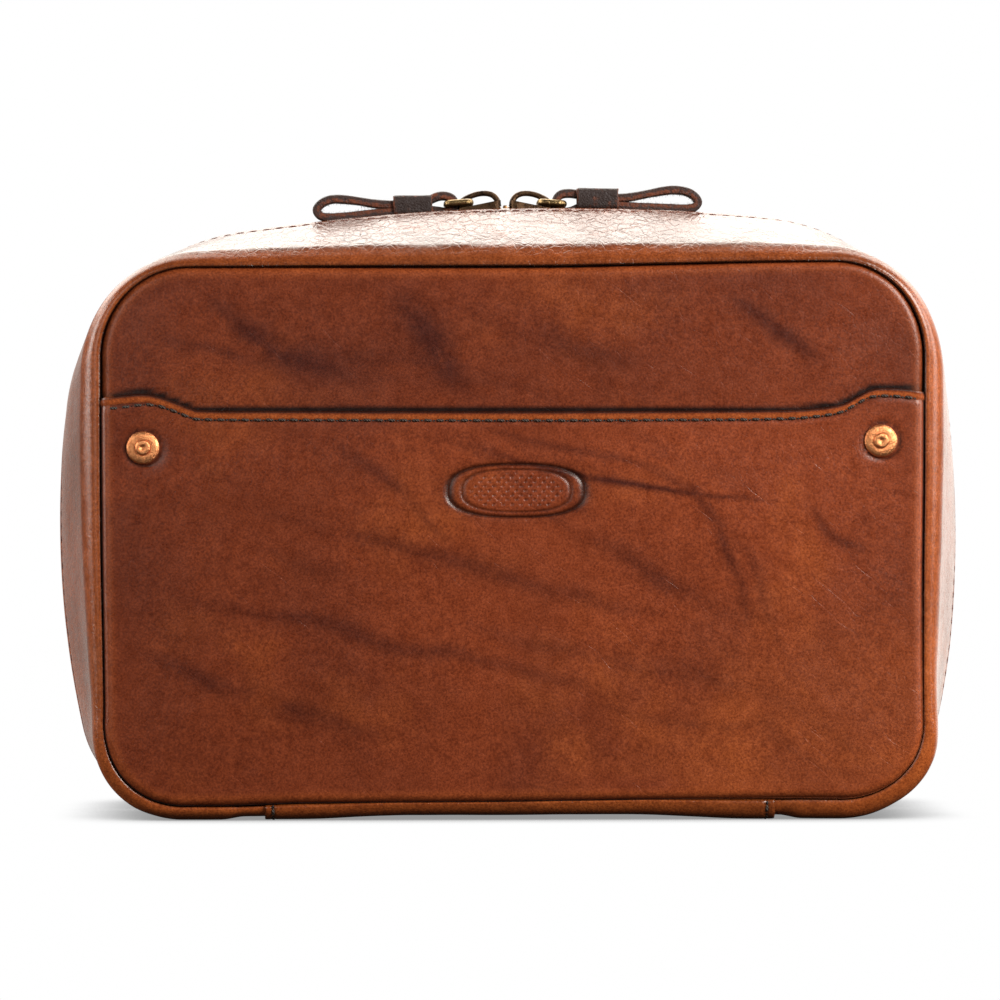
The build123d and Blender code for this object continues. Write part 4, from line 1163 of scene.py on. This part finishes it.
# ---------------------------------------------------------------- linings
def make_lining(tray):
    """A thin cloth tray inside the leather one, lying in soft folds."""
    side = TRAYS[tray]
    wall = [(10.05, 3.3), (10.6, 3.2), (12, 3.18)] + [(y, 3.18) for y in np.linspace(13.5, 38.0, 22)]
    wall += [(39.2, 3.35), (40.2, 3.9), (40.8, 4.8), (41.05, 6.0)]
    sizes = (12, 20, 44, 44, 40)
    rows = []
    for depth, inset in wall:
        ring, normal = bag_ring(depth, 0.0, sizes)
        line = (ring - normal * inset)[:-1]
        rows.append(np.stack([line[:, 0], np.full(len(line), depth), line[:, 1]], -1))
    rim = rows[-1]
    middle = np.array([0.0, 41.1, 85.0])
    for share in np.linspace(0.94, 0.02, 26):
        rows.append(middle + (rim - middle) * share)
    grid = np.array(rows)
    fold = 0.5 + 0.5 * rough(grid * (1, 0.45, 1), 26.0, 21.0 + side, 3)
    inwards = middle * (1, 0, 1) + (0, 12.0, 0) - grid
    inwards /= np.linalg.norm(inwards, axis=-1)[..., None]
    depth = smooth_step(10.5, 18.0, grid[..., 1])
    outer = grid + inwards * (0.7 * fold * depth)[..., None]
    inner = grid + inwards * (0.45 + 0.7 * fold * depth)[..., None]
    for sheet in (outer, inner):
        sheet[..., 1] *= side
    rows_count, cols = grid.shape[:2]
    count = rows_count * cols
    faces = grid_faces(rows_count, cols, close_cols=True).tolist()
    faces += grid_faces(rows_count, cols, count, close_cols=True, flip=True).tolist()
    first = np.arange(cols)
    faces += np.stack([first, first + count, (first + 1) % cols + count, (first + 1) % cols], -1).tolist()
    faces += [list(range(count - cols, count)), list(range(2 * count - cols, 2 * count))[::-1]]
    points = np.concatenate([outer.reshape(-1, 3), inner.reshape(-1, 3)])
    return outward(to_object(f"{tray}_lining_cloth", settle(points), faces, LINING_FABRIC))


for tray in TRAYS:
    cloth = make_lining(tray)
    attach(cloth, tray, "lining", f"{tray}_lining")


# ---------------------------------------------------------------- sliders and pulls
def from_slider(name, points):
    """Points in a slider's frame (outwards along the zipper, across, up), put on the bag."""
    side = -1 if name == "left" else 1
    angle = math.asin(SLIDER_AT[name] / CHAIN_RADIUS)
    up = np.array([side * math.sin(angle), 0.0, math.cos(angle)])
    out = np.array([side * math.cos(angle), 0.0, -math.sin(angle)])
    origin = np.array([0.0, 0.0, CHAIN_CENTRE]) + up * CHAIN_RADIUS
    points = np.asarray(points, float)
    across = np.array([0.0, 1.0, 0.0])
    return origin + points[..., :1] * out + points[..., 1:2] * across + points[..., 2:] * up


def strip_loops(path, widths, heights, around=20, power=4.0, closed=False):
    """Rounded flat sections along a path in the (out, up) plane.

    Gives points as (out, across, up) and path normals.
    """
    path = np.asarray(path, float)
    ahead = np.gradient(path, axis=0) if not closed else np.roll(path, -1, 0) - np.roll(path, 1, 0)
    ahead /= np.hypot(ahead[:, 0], ahead[:, 1])[:, None]
    normal = np.stack([-ahead[:, 1], ahead[:, 0]], -1)
    angle = np.linspace(0, 2 * math.pi, around, endpoint=False)
    c, s = np.cos(angle), np.sin(angle)
    size = (np.abs(c) ** power + np.abs(s) ** power) ** (-1 / power)
    across, up = c * size, s * size
    loops = np.empty((len(path), around, 3))
    loops[..., 0] = path[:, :1] + normal[:, :1] * up * heights[:, None]
    loops[..., 1] = across * widths[:, None]
    loops[..., 2] = path[:, 1:] + normal[:, 1:] * up * heights[:, None]
    return loops


CROWN_PATH = [(-5.5, 3.4), (-5.2, 5.2), (-4.1, 6.6), (-2.2, 7.3), (0.4, 7.2), (3.0, 6.4), (5.0, 5.3),
              (5.75, 4.2), (5.7, 2.7)]
STRAP_PATHS = {
    "left": [(22, 4.5), (26, 4.25), (31, 4.6), (36.6, 5.55), (41.2, 6.1), (44.2, 6.1), (46.6, 5.3),
             (48.2, 4.0), (48.7, 2.9),
             (48.2, 1.8), (46.9, 0.95), (44.3, 0.75), (40, 0.95), (34, 1.5), (27, 2.05), (22, 2.4),
             (16, 2.5), (12.5, 2.2),
             (9.9, 1.9), (8.1, 2.7), (7.5, 4.2), (8.1, 5.7), (9.9, 6.6), (12.3, 6.6), (15, 5.6), (18, 4.9)],
    "right": [(22, 6.5), (26.4, 6.3), (30.7, 6.8), (35.3, 7.75), (39.9, 8.65), (42.8, 8.95), (46.2, 8.6),
              (48.8, 7.4),
              (50.1, 5.7), (49.8, 4.5), (48.4, 3.6), (45, 3.4), (39.9, 3.5), (30.7, 3.75), (26, 4.1),
              (20, 4.3), (15, 3.4),
              (12.3, 2.3), (9.9, 1.95), (8.1, 2.8), (7.5, 4.4), (8.1, 6.3), (9.6, 7.3), (12, 7.5),
              (15, 7.1), (18, 6.7)],
}
STRAP_HALF, STRAP_SIDE = 1.22, 2.85
KEEPERS = {"left": (14.2, 25.7, 0.55, 6.95), "right": (13.9, 26.1, 2.55, 9.1)}  # from, to, bottom, top
FIBRE = {"left": 5, "right": 9}


def make_strap(name):
    """A strip of thick leather folded through the ring, flat in its keeper and open in a loop at its end."""
    path = smooth_path(STRAP_PATHS[name], 200, closed=True)
    seed = FIBRE[name]
    flat = np.stack([path[:, 0], np.zeros(len(path)), path[:, 1]], -1)
    heights = STRAP_HALF + 0.1 * rough(flat, 6.0, seed)
    widths = STRAP_SIDE + 0.16 * rough(flat, 9.0, seed + 1.0)
    loops = strip_loops(path, widths, heights, 28, 7.0, closed=True)
    loops += 0.05 * rough(loops, 1.3, seed + 2.0)[..., None] * (0.6, 1.0, 0.6)
    along, around = loops.shape[:2]
    faces = grid_faces(along, around, close_cols=True, close_rows=True).tolist()
    strap = outward(to_object(f"pull_{name}_strap", from_slider(name, loops).reshape(-1, 3), faces,
                              PULL_LEATHER))
    side = np.abs(loops[..., 1]) / STRAP_SIDE
    centre = path.mean(0)
    inward = ((loops[..., 0] - path[:, :1]) * (centre[0] - path[:, :1])
              + (loops[..., 2] - path[:, 1:]) * (centre[1] - path[:, 1:])) > 0
    raw = 0.1 * smooth_step(0.7, 1.0, side) + 0.6 * smooth_step(0.75, 1.0, side) * inward
    paint(strap, raw=raw.reshape(-1))
    return strap, path


def make_keeper(name):
    """A leather band round both layers of the strap, square-cut at its ends."""
    start, end, low, high = KEEPERS[name]
    middle, half_high, half_side = (low + high) / 2, (high - low) / 2, 3.85
    stations = np.concatenate([[start, start + 0.04, start + 0.16], np.linspace(start + 0.4, end - 0.4, 30),
                               [end - 0.16, end - 0.04, end]])
    angle = np.linspace(0, 2 * math.pi, 56, endpoint=False)
    c, s = np.cos(angle), np.sin(angle)
    size = (np.abs(c) ** 5 + np.abs(s) ** 5) ** (-1 / 5)
    outer, inner = [], []
    for x in stations:
        round_off = 0.16 * (1 - math.sqrt(1 - (1 - min(min(x - start, end - x), 0.4) / 0.4) ** 2))
        y, z = c * size * (half_side - round_off), middle + s * size * (half_high - round_off)
        outer.append(np.stack([np.full(56, x), y, z], -1))
        inner.append(np.stack([np.full(56, x), c * size * 2.95,
                               middle - 0.55 + s * size * (half_high - 1.15)], -1))
    outer, inner = np.array(outer), np.array(inner)
    outer += 0.09 * rough(outer, 4.0, FIBRE[name] + 3.0, 3)[..., None]
    outer[..., 0] += 0.2 * np.sin(outer[..., 1] * 0.9 + outer[..., 2])
    loops = np.concatenate([outer, inner[::-1]])
    rows, cols = loops.shape[:2]
    faces = grid_faces(rows, cols, close_cols=True, close_rows=True).tolist()
    keeper = outward(to_object(f"pull_{name}_keeper", from_slider(name, loops).reshape(-1, 3), faces,
                               PULL_LEATHER))
    ends = np.minimum(loops[..., 0] - start, end - loops[..., 0])
    paint(keeper, raw=(0.8 * smooth_step(0.35, 0.05, ends)).reshape(-1))
    return keeper


def make_fibres(name, path):
    """Short loose fibres along the cut edges inside the loop."""
    chance = random.Random(f"fibres {name}")
    open_part = np.where(path[:, 0] > 27.0)[0]
    centre = path[open_part].mean(0)
    pieces = []
    for _ in range(420):
        i = chance.choice(list(open_part[1:-1]))
        at = path[i]
        ahead = path[(i + 1) % len(path)] - path[i - 1]
        normal = np.array([-ahead[1], ahead[0]]) / np.hypot(*ahead)
        if normal @ (centre - at) < 0:
            normal = -normal
        across = chance.choice((-1, 1)) * STRAP_SIDE * chance.uniform(0.86, 1.0)
        root = np.array([at[0] + normal[0] * 0.9, across, at[1] + normal[1] * 0.9])
        way = np.array([normal[0] + chance.uniform(-0.9, 0.9), chance.uniform(-0.8, 0.8),
                        normal[1] + chance.uniform(-0.6, 0.6)])
        way *= chance.uniform(0.25, 1.0) / np.linalg.norm(way)
        curl = np.array([chance.uniform(-0.3, 0.3) for _ in range(3)]) * np.linalg.norm(way)
        radius = chance.uniform(0.035, 0.075)
        rings = []
        for t in (0.0, 0.4, 0.75, 1.0):
            middle = root + way * t + curl * t * t
            size = radius * (1 - 0.8 * t)
            rings.append(middle + size * np.array([(1, 0, 0), (-0.5, 0.5, 0.7), (-0.5, -0.5, -0.7)]))
        points = np.concatenate(rings)
        faces = grid_faces(4, 3, close_cols=True).tolist() + [[2, 1, 0], [9, 10, 11]]
        pieces.append((from_slider(name, points), faces))
    return merged(f"pull_{name}_fibres", pieces, FLESH_LEATHER)


def make_crown(name):
    """The slider's arched bridge, flared where it meets the plate."""
    path = smooth_path(CROWN_PATH, 60)
    walk = np.linspace(-1, 1, 60)
    widths = 1.15 + 0.75 * np.abs(walk) ** 2.5
    heights = 0.82 + 0.12 * np.abs(walk) ** 3
    loops = strip_loops(path, widths, heights, 24, 3.0)
    return swept(f"slider_{name}_bridge", from_slider(name, loops), SLIDER_METAL)


for name in SLIDER_AT:
    strap, path = make_strap(name)
    keeper = make_keeper(name)
    fibres = make_fibres(name, path)
    attach(strap, f"pull_{name}", "pull_leather", f"pull_strap_{name}")
    attach(keeper, f"pull_{name}", "pull_leather", f"pull_keeper_{name}")
    attach(fibres, f"pull_{name}", "pull_leather")
    attach(make_crown(name), f"slider_{name}", "slider_bronze", f"slider_crown_{name}")

# ---------------------------------------------------------------- CAD pieces that stay, with softened edges
for name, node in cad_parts.items():
    if node.hide_render:
        continue
    node.data.materials.clear()
    if "ring" in name:
        node.data.materials.append(RING_METAL)
    else:
        node.data.materials.append(SLIDER_METAL if "slider" in name else ZIP_METAL)
        bevel = node.modifiers.new("soft_edges", "BEVEL")
        bevel.width, bevel.segments, bevel.limit_method = 0.00028, 3, "ANGLE"
